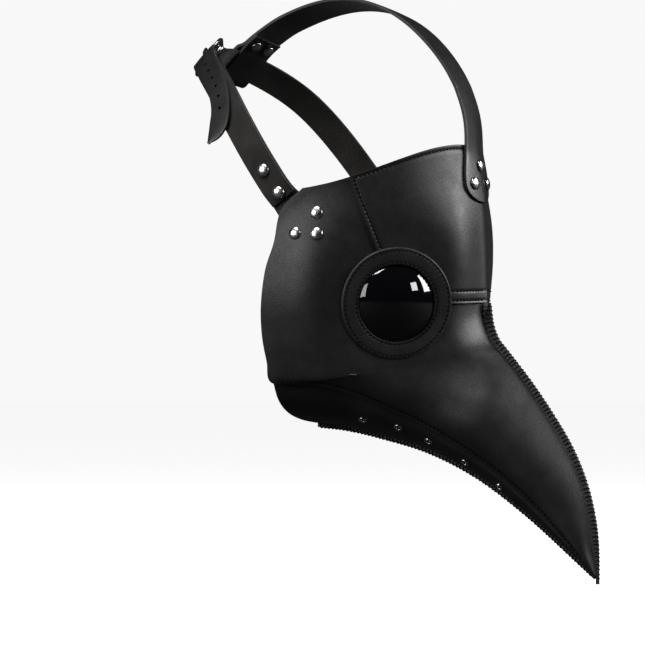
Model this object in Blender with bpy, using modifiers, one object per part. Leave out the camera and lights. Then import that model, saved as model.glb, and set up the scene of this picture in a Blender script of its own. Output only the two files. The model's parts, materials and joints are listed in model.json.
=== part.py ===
"""Plague doctor mask: a leather beak with eye lenses, vent eyelets and a buckled head harness.

Lengths are in millimetres until a mesh is made. A mask point is (forward, out, up): forward is -Y,
out is the distance from the middle plane, and the origin is at eye level in the face opening.
"""

import math

import bmesh
import bpy
from mathutils import Matrix, Vector

MM = 0.001
RIGHT, LEFT = -1, 1
SIDES = {"right": RIGHT, "left": LEFT}

LEATHER = 1.6
STRAP = 2.0
GAP = 0.3
ROOT_GAP = 1.9
LAP_GAP = 0.8
SEAM_LAP = 8.0
PANEL_WIDTH = 130.0
EYE_ROW = 4
LAP_ROW = EYE_ROW - 0.35
JAW_ROW = 7
EYE_ACROSS = 0.585
SEAM_TOP_ACROSS = 0.225
EYE_TURN = 52.0
EYE_DROOP = 6.0
LENS_RADIUS = 25.0
LENS_RISE = 9.0
LENS_WALL = 1.8
LENS_FLANGE = 4.5
LENS_CLEARANCE = 0.4
RING_RADIUS = 37.0
# The leather is flat round the eye and blends into the lofted shape beyond, and near the nose.
FLAT_RADIUS = 40.0
BLEND_RADIUS = 92.0
NOSE_FADE = 30.0
FIN_HALF = 1.4
FIN_DEPTH = 4.4
FIN_TAPER = 0.75
PANEL_TO_MIDDLE = 3.2
GUSSET_TO_SEAM = 3.6
GUSSET_TO_KEEL = 1.9
STRAP_HALF = 9.5
ROOT_HALF = 14.0
CROWN_HALF = 12.5
CROWN_END_HALF = 17.0
CROWN_END_ROW = 1.47
TAIL_NARROWING = 1.9
TAIL_POINT = 1.5
TAIL_TIP_HALF = 0.7
BAR_RADIUS = 1.5
BUCKLE_LENGTH = 20.0
BUCKLE_HALF = 12.5
PRONG_RADIUS = 1.1
FOLD_RADIUS = BAR_RADIUS + GAP + STRAP / 2
FOLD_STEPS = 8
PRONG_SLOT = (11.5, 4.0, 11.0)
HOLE_PITCH = 9.5
HOLE_COUNT = 9
HOLE_RADIUS = 1.2
PRONG_HOLE_RADIUS = 5.2
RIVET_HOLE_RADIUS = 1.8
# How much leather and slack each kind of rivet goes through.
ROOT_STACK = LEATHER + STRAP + ROOT_GAP + GAP
CROWN_STACK = STRAP + LEATHER + GAP + 0.7
LOOP_STACK = 2 * STRAP + 1.4
RETURN_STACK = 2 * STRAP + GAP + 2.1
EYELET_HOLE_RADIUS = 2.3
ROWS_PER_STATION = 2

# The head that the harness lies on: an ellipsoid that leans forward with height.
HEAD_CENTRE = Vector((0.0, 0.0, 73.0))
HEAD_HALF = (78.0, 113.0, 125.0)
HEAD_LEAN = 0.088

# Each station runs from the back edge or lower seam to the ridge on the middle plane:
# (edge point), (ridge forward, up), (direction leaving the edge), (direction leaving the ridge).
STATIONS = (
    ((22.4, 81, 73.3), (110.5, 101), (1.0, -0.12, 0.12), (-0.10, 1.0, 0.16)),
    ((8.0, 83, 59.3), (115.0, 76), (1.0, -0.10, 0.04), (-0.14, 1.0, 0.08)),
    ((2.5, 84, 38.0), (118.0, 50), (1.0, -0.08, 0.00), (-0.24, 1.0, 0.02)),
    ((-4.2, 84, 19.5), (119.3, 25), (1.0, -0.08, 0.00), (-0.36, 0.95, 0.0)),
    ((-7.6, 83, -3.0), (120.0, -2), (1.0, -0.08, 0.00), (-0.48, 0.88, 0.0)),
    ((-7.9, 80, -22.7), (122.0, -17), (1.0, -0.10, 0.00), (-0.52, 0.85, 0.0)),
    ((-5.5, 76, -41.0), (126.0, -28), (1.0, -0.10, 0.04), (-0.52, 0.84, 0.0)),
    ((-2.7, 72, -55.3), (131.5, -35), (1.0, -0.06, 0.10), (-0.50, 0.84, -0.06)),
    ((23.5, 64, -55.9), (139.0, -43), (0.95, 0.02, 0.25), (-0.50, 0.82, -0.12)),
    ((43.7, 54, -61.3), (146.0, -51.5), (0.85, 0.12, 0.40), (-0.48, 0.80, -0.18)),
    ((64.7, 44, -71.3), (153.0, -60.5), (0.78, 0.22, 0.50), (-0.48, 0.78, -0.22)),
    ((84.5, 35, -81.3), (160.0, -70), (0.74, 0.30, 0.55), (-0.48, 0.76, -0.26)),
    ((106.7, 27.5, -94.5), (169.0, -83.5), (0.72, 0.36, 0.48), (-0.50, 0.76, -0.26)),
    ((124.8, 22, -106.7), (176.5, -96), (0.74, 0.40, 0.40), (-0.54, 0.76, -0.22)),
    ((140.6, 17.8, -119.3), (183.0, -109), (0.76, 0.42, 0.32), (-0.58, 0.76, -0.18)),
    ((161.3, 12, -139.3), (190.2, -128), (0.78, 0.42, 0.26), (-0.62, 0.74, -0.14)),
    ((179.5, 8, -159.0), (194.8, -150), (0.80, 0.42, 0.20), (-0.64, 0.74, -0.10)),
    ((190.0, 5.6, -171.5), (196.6, -166), (0.80, 0.40, 0.20), (-0.66, 0.72, -0.10)),
)
# Where the underside meets the keel, (forward, up), from the jaw's station on.
KEEL = (
    (-3, -82), (20, -84.5), (36, -88), (58, -93), (80, -99.5), (104, -110.5),
    (124, -122.5), (141, -134.5), (162, -151), (180, -166), (189.5, -174),
)
# The outer lines of the two seam fins in the middle plane, (forward, up).
RIDGE_FIN = (
    (122.5, -2), (124.5, -16), (128.5, -26), (134.3, -33), (151.8, -54), (167.4, -75.3),
    (181.1, -96.7), (190.7, -118), (196.7, -139.3), (199.7, -160.7), (200.3, -186.7),
)
KEEL_FIN = (
    (-3, -84.7), (18.4, -87), (42.7, -92), (78, -101.8), (113.3, -118.5), (148.6, -143),
    (183.9, -172.5), (196.5, -183.5),
)
# Vent eyelets: (station, share of the way from seam to keel).
EYELETS = ((9.25, 0.42), (10.35, 0.30), (11.25, 0.34), (12.3, 0.42), (13.6, 0.48))
ROOT_RIVETS = ((32.9, 58.0), (18.2, 44.3), (34.3, 44.0))
# Crown rivets: (station, distance out to the left).
CROWN_RIVETS = ((0.52, 0.0), (1.0, -9.0), (1.0, 9.0))

# Half of the rear strap, from its root under the panel to the middle of the back.
STRAP_ROUTE = (
    (36, 80, 38), (27, 80, 49), (15, 79, 60), (5.5, 78, 71), (-5, 76, 85.5), (-28, 70, 117),
    (-44, 58, 136), (-62, 37, 151.5), (-70.5, 20, 158.5), (-73, 6, 161), (-73.3, 0, 161.3),
)
# The strap lies under the panel up to ROOT_START, and on the head from ROOT_END.
ROOT_START, ROOT_END = 2.2, 3.4
# The strap's free end past the buckle: (forward, out to the right, up, lift off the head).
TAIL_ROUTE = (
    (-70, 21, 158.2, 9.6), (-65, 31, 154.5, 8.8), (-56, 43, 147.5, 7.2), (-45, 56, 137, 6.6),
    (-39, 63, 124, 6.6), (-39, 67, 112, 7.2), (-45, 69, 101.5, 8.4),
)
CROWN_DRIFT = 20.0
BUCKLE_AT = 7.65
RETURN_END = 2.6
RETURN_RIVET_LIFT = 0.7
RETURN_RIVETS = ((-4.7, 84.9), (6.0, 70.0))
# The crown strap near its loop round the rear strap, at CROWN_LOOP_AT:
# (distance up the head from the rear strap's middle, lift).
CROWN_LOOP_AT = 7.9
LOOP_OUTSIDE = ((25, 1.4), (17, 1.4), (13, 2.6), (9.5, 4.2), (0, 4.2), (-9.5, 4.2))
LOOP_INSIDE = ((-9.5, -2.6), (0, -2.6), (9.5, -2.6), (14, -1.4), (20, -1.1), (27, -1.1))
LOOP_RIVET_UP = 20.0
LOOP_RIVET_OUT = 6.0

# Colour, roughness and metallic value of each finish.
FINISHES = {
    "leather": ((0.018, 0.018, 0.02), 0.42, 0.0),
    "lens": ((0.006, 0.006, 0.008), 0.05, 0.0),
    "metal": ((0.75, 0.75, 0.76), 0.18, 1.0),
}


def lerp(a, b, share):
    return a + (b - a) * share


def smooth(low, high, value):
    share = min(max((value - low) / (high - low), 0.0), 1.0)
    return share * share * (3 - 2 * share)


def spline(points, place):
    """A point on the smooth curve through the points; place counts in points."""
    last = len(points) - 1
    index = min(max(int(math.floor(place)), 0), last - 1)
    share = place - index
    before = points[index - 1] if index else points[0] * 2 - points[1]
    after = points[index + 2] if index + 2 <= last else points[last] * 2 - points[last - 1]
    a, b = points[index], points[index + 1]
    bend = (before * -1 + a * 3 - b * 3 + after) * share**3
    lean = (before * 2 - a * 5 + b * 4 - after) * share**2
    return (a * 2 + (b - before) * share + lean + bend) * 0.5


EDGE = [Vector(row[0]) for row in STATIONS]
RIDGE = [Vector((row[1][0], 0.0, row[1][1])) for row in STATIONS]
EDGE_WAY = [Vector(row[2]).normalized() for row in STATIONS]
RIDGE_WAY = [Vector(row[3]).normalized() for row in STATIONS]
KEEL_LINE = [Vector((forward, 0.0, up)) for forward, up in KEEL]
LAST_ROW = len(STATIONS) - 1
EYE_NORMAL = Vector((
    math.cos(math.radians(EYE_TURN)) * math.cos(math.radians(EYE_DROOP)),
    math.sin(math.radians(EYE_TURN)) * math.cos(math.radians(EYE_DROOP)),
    -math.sin(math.radians(EYE_DROOP)),
))


def bezier(start, first, second, end, share):
    other = 1 - share
    return (
        start * other**3 + first * 3 * other**2 * share
        + second * 3 * other * share**2 + end * share**3
    )


def loft_point(row, across):
    """The mask's outer surface before the leather is drawn flat round the eye."""
    start, end = spline(EDGE, row), spline(RIDGE, row)
    reach = 0.4 * (end - start).length
    first = start + spline(EDGE_WAY, row) * reach
    second = end + spline(RIDGE_WAY, row) * reach
    return bezier(start, first, second, end, across)


EYE = loft_point(EYE_ROW, EYE_ACROSS)


def skin(row, across):
    point = loft_point(row, across)
    height = (point - EYE).dot(EYE_NORMAL)
    flat = point - EYE_NORMAL * height
    pull = 1 - smooth(FLAT_RADIUS, BLEND_RADIUS, (flat - EYE).length)
    pull *= smooth(0.0, NOSE_FADE, point.y)
    return point - EYE_NORMAL * (height * pull)


def normal_of(surface, row, across):
    """The outward unit normal of a surface given as a function of row and across."""
    step = 0.004
    low = min(max(across - step, 0.0), 1.0 - step)
    high = max(min(across + step, 1.0), step)
    along = surface(row + step, across) - surface(row - step, across)
    over = surface(row, high) - surface(row, low)
    return over.cross(along).normalized()


def skin_at(row, across, depth=0.0):
    return skin(row, across) - normal_of(skin, row, across) * depth


def underside(row, across):
    """The underside between the lower seam (0) and the keel (1)."""
    start, end = spline(EDGE, row), spline(KEEL_LINE, row - JAW_ROW)
    width = start.y
    first = start + Vector((0.0, -0.15, -0.30)) * width
    second = end + Vector((0.0, 0.45, 0.03)) * width
    return bezier(start, first, second, end, across)


def seam_across(row):
    """Where the seam between brow and side runs, as a share of the way to the ridge."""
    share = min(row / EYE_ROW, 1.0)
    return lerp(SEAM_TOP_ACROSS, EYE_ACROSS, share**0.9)


def across_where_out(surface, row, out):
    """The share across at which the surface comes within out of the middle plane."""
    low, high = 0.5, 1.0
    for _ in range(30):
        middle = (low + high) / 2
        if surface(row, middle).y > out:
            low = middle
        else:
            high = middle
    return high


def world(point, side):
    return Vector((side * point.y, -point.x, point.z)) * MM


def skin_ray(forward, up):
    """(row, across) of the outer surface where it is seen from the side at (forward, up)."""
    row, across = 2.0, 0.2
    for _ in range(40):
        here = skin(row, across)
        step = 0.01
        down = (skin(row + step, across) - here) / step
        over = (skin(row, across + step) - here) / step
        spread = down.x * over.z - over.x * down.z
        du, dz = forward - here.x, up - here.z
        row += (du * over.z - over.x * dz) / spread
        across += (down.x * dz - du * down.z) / spread
    return row, across


# Objects.


def clear_scene():
    for found in list(bpy.data.objects):
        bpy.data.objects.remove(found, do_unlink=True)


def new_collection(name):
    made = bpy.data.collections.new(name)
    bpy.context.scene.collection.children.link(made)
    return made


def material(name, colour, roughness, metallic):
    made = bpy.data.materials.new(name)
    made.use_nodes = True
    shader = made.node_tree.nodes["Principled BSDF"]
    shader.inputs["Base Color"].default_value = (*colour, 1.0)
    shader.inputs["Roughness"].default_value = roughness
    shader.inputs["Metallic"].default_value = metallic
    return made


def mesh_object(name, mesh, finish):
    made = bpy.data.objects.new(name, mesh)
    PARTS.objects.link(made)
    paint = material(name, *FINISHES[finish])
    made.data.materials.append(paint)
    return made


def grid_mesh(name, rows, keep=None, flip=False):
    """An open mesh of quads on rows of points, leaving out the cells that keep refuses."""
    work = bmesh.new()
    verts = [[work.verts.new(point) for point in row] for row in rows]
    for i in range(len(rows) - 1):
        for j in range(len(rows[0]) - 1):
            if keep and not keep(i, j):
                continue
            corners = [verts[i][j], verts[i + 1][j], verts[i + 1][j + 1], verts[i][j + 1]]
            work.faces.new(corners[::-1] if flip else corners)
    loose = [vert for vert in work.verts if not vert.link_faces]
    bmesh.ops.delete(work, geom=loose, context="VERTS")
    mesh = bpy.data.meshes.new(name)
    work.to_mesh(mesh)
    work.free()
    mesh.shade_smooth()
    return mesh


def leather(name, rows, finish, thickness=LEATHER, offset=-1.0, keep=None, flip=False):
    """A sheet of leather: an open surface given its thickness inwards, or both ways with offset 0."""
    made = mesh_object(name, grid_mesh(name, rows, keep, flip), finish)
    solid = made.modifiers.new("thickness", "SOLIDIFY")
    solid.thickness = thickness * MM
    solid.offset = offset
    return made


def cutter(name, holes):
    """Cylinders in one helper object; each hole is (centre, axis, radius, length)."""
    work = bmesh.new()
    for centre, axis, radius, length in holes:
        turn = Vector((0, 0, 1)).rotation_difference(axis).to_matrix().to_4x4()
        bmesh.ops.create_cone(
            work, cap_ends=True, segments=48 if radius > LENS_RADIUS else 12,
            radius1=radius * MM, radius2=radius * MM, depth=length * MM,
            matrix=Matrix.Translation(centre) @ turn,
        )
    return helper(name, work)


def holes_at(places, radius, length=16.0):
    return [(place, axis, radius, length) for place, axis in places]


def eye_hole(side):
    place = (world(EYE, side), turned_way(side, EYE_NORMAL))
    return holes_at([place], LENS_RADIUS + LENS_CLEARANCE, 60.0)


def helper(name, work):
    mesh = bpy.data.meshes.new(name)
    work.to_mesh(mesh)
    work.free()
    made = bpy.data.objects.new(name, mesh)
    CUTTERS.objects.link(made)
    made.hide_render = True
    made.display_type = "WIRE"
    return made


def cut(target, tool):
    boolean = target.modifiers.new("holes", "BOOLEAN")
    boolean.operation = "DIFFERENCE"
    boolean.object = tool


def turned(name, profile, centre, axis, finish, steps):
    """A turned piece: the (radius, height) profile runs from the top of the axis to its bottom."""
    mesh = bpy.data.meshes.new(name)
    points = [(radius * MM, 0.0, height * MM) for radius, height in profile]
    links = [(i, i + 1) for i in range(len(points) - 1)]
    if profile[0][0] > 0:
        links.append((len(points) - 1, 0))
    mesh.from_pydata(points, links, [])
    made = mesh_object(name, mesh, finish)
    screw = made.modifiers.new("turn", "SCREW")
    screw.steps = steps
    screw.render_steps = steps
    screw.use_merge_vertices = True
    screw.merge_threshold = 0.00001
    made.location = centre
    made.rotation_mode = "QUATERNION"
    made.rotation_quaternion = Vector((0, 0, 1)).rotation_difference(axis)


def turned_way(side, normal):
    return Vector((side * normal.y, -normal.x, normal.z)).normalized()


# The mask.


def side_depth(row):
    """The side panel lies under the brow panel above the eye, and comes out below it."""
    return (LEATHER + LAP_GAP) * (1 - smooth(EYE_ROW + 0.3, JAW_ROW, row))


def row_places(first, last):
    count = round((last - first) * ROWS_PER_STATION)
    return [lerp(first, last, i / count) for i in range(count + 1)]


def side_panel(name, side):
    """The cheek leather; above its lap row it stops a seam's lap inside the brow panel's edge."""
    places = [place for place in row_places(0, LAST_ROW) if abs(place - LAP_ROW) > 0.2]
    places = sorted(places + [LAP_ROW])
    outer, inner = 5, 4
    rows = []
    for row in places:
        seam = seam_across(row) + SEAM_LAP / PANEL_WIDTH
        last = across_where_out(skin, row, PANEL_TO_MIDDLE)
        shares = [seam * j / outer for j in range(outer + 1)]
        shares += [lerp(seam, last, j / inner) for j in range(1, inner + 1)]
        rows.append([world(skin_at(row, share, side_depth(row)), side) for share in shares])
    under = places.index(LAP_ROW)
    made = leather(name, rows, "leather", keep=lambda i, j: i >= under or j < outer, flip=side > 0)
    holes = eye_hole(side) + holes_at(root_rivet_places(side), RIVET_HOLE_RADIUS)
    cut(made, cutter(name + "_holes", holes))


def brow_panel():
    half = 8
    rows = []
    for row in row_places(0, EYE_ROW):
        seam = seam_across(row)
        shares = [lerp(seam, 1.0, j / half) for j in range(half + 1)]
        right = [world(skin_at(row, share), RIGHT) for share in shares]
        left = [world(skin_at(row, share), LEFT) for share in shares[-2::-1]]
        rows.append(right + left)
    made = leather("brow_panel", rows, "leather")
    holes = eye_hole(RIGHT) + eye_hole(LEFT)
    holes += holes_at(crown_rivet_places(), RIVET_HOLE_RADIUS)
    cut(made, cutter("brow_panel_holes", holes))


def gusset(name, side):
    """Half of the underside, from the lower seam to the keel; its ends narrow towards the tip."""
    columns = 5
    rows = []
    for row in row_places(JAW_ROW, LAST_ROW):
        width = spline(EDGE, row).y
        first = min(GUSSET_TO_SEAM / width, 0.42)
        last = 1 - min(GUSSET_TO_KEEL / width, 0.45)
        shares = [lerp(first, last, j / columns) for j in range(columns + 1)]
        rows.append([world(underside(row, share), side) for share in shares])
    made = leather(name, rows, "leather", flip=side < 0)
    cut(made, cutter(name + "_holes", holes_at(eyelet_places(side), EYELET_HOLE_RADIUS, 14.0)))


def fin(name, outer_line, way):
    """A raised seam in the middle plane, as a flat outline with the thickness of its two edges."""
    outer = [Vector((forward, up)) for forward, up in outer_line]
    count = (len(outer) - 1) * 2
    outer_points = [spline(outer, i / 2) for i in range(count + 1)]
    inner_points = []
    for i, point in enumerate(outer_points):
        ahead = outer_points[min(i + 1, count)] - outer_points[max(i - 1, 0)]
        inward = Vector((ahead.y, -ahead.x)).normalized() * way
        depth = FIN_DEPTH * (1 - FIN_TAPER * smooth(0.9, 1.0, i / count))
        inner_points.append(point + inward * depth)
    outline = outer_points + inner_points[::-1]
    curve = bpy.data.curves.new(name, "CURVE")
    curve.dimensions = "2D"
    curve.fill_mode = "BOTH"
    curve.extrude = FIN_HALF * MM
    line = curve.splines.new("POLY")
    line.points.add(len(outline) - 1)
    for point, (forward, up) in zip(line.points, outline):
        point.co = (-forward * MM, up * MM, 0.0, 1.0)
    line.use_cyclic_u = True
    made = bpy.data.objects.new(name, curve)
    PARTS.objects.link(made)
    curve.materials.append(material(name, *FINISHES["leather"]))
    # The curve's plane turns upright: its X becomes Y and its Y becomes Z.
    made.rotation_euler = (math.pi / 2, 0.0, math.pi / 2)


def dome(ball, lean, top):
    """The (radius, height) line of a cap of a ball, from its top to where it leans by lean."""
    steps = 4
    angles = [lean * i / steps for i in range(steps + 1)]
    return [(ball * math.sin(angle), top + ball * (math.cos(angle) - 1)) for angle in angles]


def lens(name, side):
    """A domed lens whose flange lies behind the leather."""
    back = -(2 * LEATHER + 2 * GAP)
    ball = (LENS_RADIUS**2 + LENS_RISE**2) / (2 * LENS_RISE)
    lean = math.asin(LENS_RADIUS / ball)
    flange = LENS_RADIUS + LENS_FLANGE
    profile = dome(ball, lean, LENS_RISE)
    profile += [(LENS_RADIUS, back - GAP), (flange, back - GAP), (flange, back - LENS_WALL)]
    profile += [(LENS_RADIUS - LENS_WALL, back - LENS_WALL)]
    profile += dome(ball - LENS_WALL, lean, LENS_RISE - LENS_WALL)[::-1]
    turned(name, profile, world(EYE, side), turned_way(side, EYE_NORMAL), "lens", 28)


def eye_ring(name, side):
    """The double-stitched leather ring, turned with softened edges."""
    inner, outer = LENS_RADIUS + 0.5, RING_RADIUS
    top, edge = GAP + LEATHER + 0.2, GAP + LEATHER - 0.5
    profile = [
        (inner, edge), (inner + 0.7, top), (outer - 0.9, top), (outer, edge), (outer, GAP),
        (inner, GAP),
    ]
    turned(name, profile, world(EYE, side), turned_way(side, EYE_NORMAL), "leather", 36)


def eyelet_places(side):
    places = []
    for row, share in EYELETS:
        normal = normal_of(underside, row, share) * -1
        places.append((world(underside(row, share), side), turned_way(side, normal)))
    return places


def eyelets(side_name, side):
    back = -LEATHER - GAP
    profile = [
        (1.5, 0.9), (2.6, 0.9), (3.1, GAP), (2.1, GAP), (2.1, back), (3.0, back),
        (3.0, back - 0.5), (1.5, back - 0.5),
    ]
    for index, (place, axis) in enumerate(eyelet_places(side), 1):
        turned(f"eyelet_{side_name}_{index}", profile, place, axis, "metal", 10)


def rivet(name, place, axis, stack):
    """A capped rivet through a stack of leather whose outer face is at place."""
    back = -stack - GAP
    profile = [
        (0.0, 1.9), (2.4, 1.5), (4.0, 0.8), (4.3, GAP), (1.5, GAP), (1.5, back), (3.6, back),
        (3.6, back - 0.7), (0.0, back - 0.7),
    ]
    turned(name, profile, place, axis, "metal", 10)


def root_rivet_places(side):
    places = []
    for forward, up in ROOT_RIVETS:
        row, across = skin_ray(forward, up)
        normal = normal_of(skin, row, across)
        point = skin(row, across) - normal * side_depth(row)
        places.append((world(point, side), turned_way(side, normal)))
    return places


def root_rivets(side_name, side):
    for index, (place, axis) in enumerate(root_rivet_places(side), 1):
        rivet(f"root_rivet_{side_name}_{index}", place, axis, ROOT_STACK)


# The harness. Its points are in world axes, still in millimetres.


def head_slopes(point):
    """How the head's ellipsoid function grows along X, Y and Z at a point, and its size there."""
    away = point - HEAD_CENTRE
    back = away.y + HEAD_LEAN * away.z
    slopes = [away.x / HEAD_HALF[0] ** 2, back / HEAD_HALF[1] ** 2, away.z / HEAD_HALF[2] ** 2]
    size = away.x * slopes[0] + back * slopes[1] + away.z * slopes[2]
    slopes[2] += HEAD_LEAN * slopes[1]
    return Vector(slopes), size


def to_head(point, lift=0.0):
    """The point moved onto the head along the line from the head's centre, then lifted off it."""
    _, size = head_slopes(point)
    on_head = HEAD_CENTRE + (point - HEAD_CENTRE) / math.sqrt(size)
    return on_head + head_normal(on_head) * lift


def head_normal(point):
    slopes, _ = head_slopes(point)
    return slopes.normalized()


def route_point(side, place, lift):
    """A point of the rear strap's middle line, lift above its inner face."""
    line = [Vector((side * out, -forward, up)) for forward, out, up in STRAP_ROUTE]
    raw = spline(line, place)
    free = to_head(raw, lift)
    if place >= ROOT_END:
        return free
    row, across = skin_ray(-raw.y, raw.z)
    normal = normal_of(skin, row, across)
    depth = side_depth(row) + LEATHER + ROOT_GAP + STRAP
    inside = world(skin(row, across) - normal * (depth - lift), side) / MM
    return inside.lerp(free, smooth(ROOT_START, ROOT_END, place))


def strap_normal(side, place):
    """The strap's outward direction: the panel's at its root, and the head's beyond it."""
    point = route_point(side, place, STRAP / 2)
    free = head_normal(point)
    if place >= ROOT_END:
        return free
    row, across = skin_ray(-point.y, point.z)
    under = turned_way(side, normal_of(skin, row, across))
    return under.lerp(free, smooth(ROOT_START, ROOT_END, place)).normalized()


def ribbon_rows(centres, normals, halves, columns=2):
    """Rows of points across a strap, in metres."""
    rows = []
    last = len(centres) - 1
    for i, centre in enumerate(centres):
        ahead = (centres[min(i + 1, last)] - centres[max(i - 1, 0)]).normalized()
        across = normals[i].cross(ahead).normalized() * halves[i]
        rows.append([
            (centre + across * (2 * j / columns - 1)) * MM for j in range(columns + 1)
        ])
    return rows


def strap_places(first, last, count):
    return [lerp(first, last, i / count) for i in range(count + 1)]


def strap_half(place):
    return lerp(ROOT_HALF, STRAP_HALF, smooth(0.6, 3.0, place))


def buckle_axes():
    """(bar centre, direction towards the left strap, direction along the bar, outward)."""
    low, high = (route_point(RIGHT, BUCKLE_AT + step, 0.0) for step in (-0.02, 0.02))
    onward = (high - low).normalized()
    base = to_head(route_point(RIGHT, BUCKLE_AT, 0.0))
    outward = head_normal(base)
    along = outward.cross(onward).normalized()
    onward = along.cross(outward).normalized()
    tilt = Matrix.Rotation(math.radians(-6.0), 3, along)
    return base + outward * (STRAP / 2 + FOLD_RADIUS), tilt @ onward, along, tilt @ outward


def right_strap_line():
    """(centres, normals, half widths) of the strap that is folded back over the buckle's bar.

    The normals keep one face of the strap outermost, so that its ribbon never twists.
    """
    bar, onward, _, outward = buckle_axes()
    places = strap_places(0.0, BUCKLE_AT - 0.15, 26)
    centres = [route_point(RIGHT, place, STRAP / 2) for place in places]
    normals = [strap_normal(RIGHT, place) for place in places]
    halves = [strap_half(place) for place in places]
    for i in range(FOLD_STEPS + 1):
        angle = math.pi * (i / FOLD_STEPS - 0.5)
        way = onward * math.cos(angle) + outward * math.sin(angle)
        centres.append(bar + way * FOLD_RADIUS)
        normals.append(way * -1)
    for place in strap_places(BUCKLE_AT - 0.25, RETURN_END, 17):
        rise = 3.3 * smooth(BUCKLE_AT - 1.3, BUCKLE_AT, place)
        centre = route_point(RIGHT, place, 1.5 * STRAP + GAP + rise)
        centres.append(centre)
        normals.append(head_normal(centre) * -1)
    for i in range(len(places), len(centres)):
        normals[i] = squared_normal(i, centres, normals[i])
        halves.append(STRAP_HALF)
    return centres, normals, halves


def squared_normal(index, centres, normal):
    """The normal turned square to the line through the centres."""
    after = centres[min(index + 1, len(centres) - 1)]
    ahead = (after - centres[index - 1]).normalized()
    return (normal - ahead * normal.dot(ahead)).normalized()


def right_strap():
    made = leather("right_strap", ribbon_rows(*right_strap_line()), "leather", STRAP, 0.0)
    places = root_rivet_places(RIGHT) + return_rivet_places()
    cut(made, cutter("right_strap_holes", holes_at(places, RIVET_HOLE_RADIUS)))
    bar, onward, along, outward = buckle_axes()
    cut(made, box_cutter("prong_slot", bar + onward * 0.2, onward, along, outward, PRONG_SLOT))


def box_cutter(name, centre, onward, along, outward, size):
    work = bmesh.new()
    bmesh.ops.create_cube(work, size=1.0)
    frame = Matrix((onward, along, outward)).transposed()
    scale = Matrix.Diagonal([length * MM for length in size])
    place = Matrix.Translation(centre * MM) @ (frame @ scale).to_4x4()
    bmesh.ops.transform(work, matrix=place, verts=work.verts)
    if place.determinant() < 0:
        bmesh.ops.reverse_faces(work, faces=work.faces)
    return helper(name, work)


def return_rivet_places():
    places = []
    for forward, up in RETURN_RIVETS:
        near = min(
            (route_point(RIGHT, 2.5 + 0.02 * i, 2 * STRAP + GAP) for i in range(110)),
            key=lambda point: (point.y + forward) ** 2 + (point.z - up) ** 2,
        )
        way = head_normal(near)
        places.append(((near + way * RETURN_RIVET_LIFT) * MM, way))
    return places


def left_strap_line():
    """(centres, normals, half widths) along the left strap from its root to its tip."""
    places = strap_places(0.0, 9.8, 26)
    centres = [route_point(LEFT, place, STRAP / 2) for place in places]
    normals = [strap_normal(LEFT, place) for place in places]
    crossing = strap_places(10.0, BUCKLE_AT + 1.15, 5)
    centres += [route_point(RIGHT, place, STRAP / 2) for place in crossing]
    halves = [strap_half(place) for place in places] + [STRAP_HALF] * len(crossing)
    line = [to_head(Vector((-out, -forward, up)), lift) for forward, out, up, lift in TAIL_ROUTE]
    last = len(line) - 1
    for place in strap_places(0.0, last, 20):
        centres.append(spline(line, place))
        point = max(place - (last - TAIL_POINT), 0.0) / TAIL_POINT
        half = STRAP_HALF - TAIL_NARROWING * smooth(0.5, 3.0, place)
        halves.append(max(half * (1 - point**2.2), TAIL_TIP_HALF))
    normals += [head_normal(centre) for centre in centres[len(normals):]]
    return centres, normals, halves


def left_strap():
    """The holed strap: over the back of the head, through the buckle, and free beyond it."""
    centres, normals, halves = left_strap_line()
    made = leather("left_strap", ribbon_rows(centres, normals, halves), "leather", STRAP, 0.0)
    holes = holes_at(root_rivet_places(LEFT), RIVET_HOLE_RADIUS) + punched_holes(centres)
    cut(made, cutter("left_strap_holes", holes))


def punched_holes(centres):
    """Round holes for the prong along the free end, one pitch apart, the first under the prong."""
    bar, onward, _, _ = buckle_axes()
    start = min(range(len(centres)), key=lambda i: (centres[i] - bar - onward * 8).length)
    holes, travelled, wanted = [], 0.0, 0.0
    for i in range(start, len(centres) - 2):
        step = (centres[i + 1] - centres[i]).length
        if travelled + step >= wanted and len(holes) < HOLE_COUNT:
            point = centres[i].lerp(centres[i + 1], (wanted - travelled) / step)
            radius = HOLE_RADIUS if holes else PRONG_HOLE_RADIUS
            holes.append((point * MM, head_normal(point), radius, 7.0))
            wanted += HOLE_PITCH
        travelled += step
    return holes


def brow_row(row, half, height):
    """Points across the crown strap's end, height above the brow panel, in metres."""
    points = []
    for j in range(2, -3, -1):
        across = across_where_out(skin, row, abs(j) * half / 2) if j else 1.0
        normal = normal_of(skin, row, min(across, 0.999))
        point = skin(row, across) + normal * height
        if not j:
            point.y = 0.0
        points.append(world(point, RIGHT if j < 0 else LEFT))
    return points


def crown_end_rows():
    """The crown strap's teardrop end on the brow, from its round tip to the brow's top."""
    steps = 8
    rows = []
    for i in range(steps + 1):
        share = i / steps
        half = CROWN_END_HALF * smooth(-0.12, 0.3, share) * (1 - 0.26 * smooth(0.35, 1.0, share))
        rows.append(brow_row(lerp(CROWN_END_ROW, 0.0, share), half, GAP + STRAP / 2))
    return rows


def crown_over_head():
    """(centre, normal) of the crown strap from the top of the brow to near its rear loop."""
    steps = 15
    centres = []
    for i in range(steps + 1):
        angle = math.radians(lerp(20, 110, i / steps))
        drift = CROWN_DRIFT * smooth(0.3, 0.95, i / steps)
        aim = HEAD_CENTRE + Vector((0, -math.cos(angle), math.sin(angle))) * 120
        centres.append(to_head(to_head(aim) + Vector((drift, 0, 0)), STRAP / 2 + 0.4))
    return centres, [head_normal(centre) for centre in centres]


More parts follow.
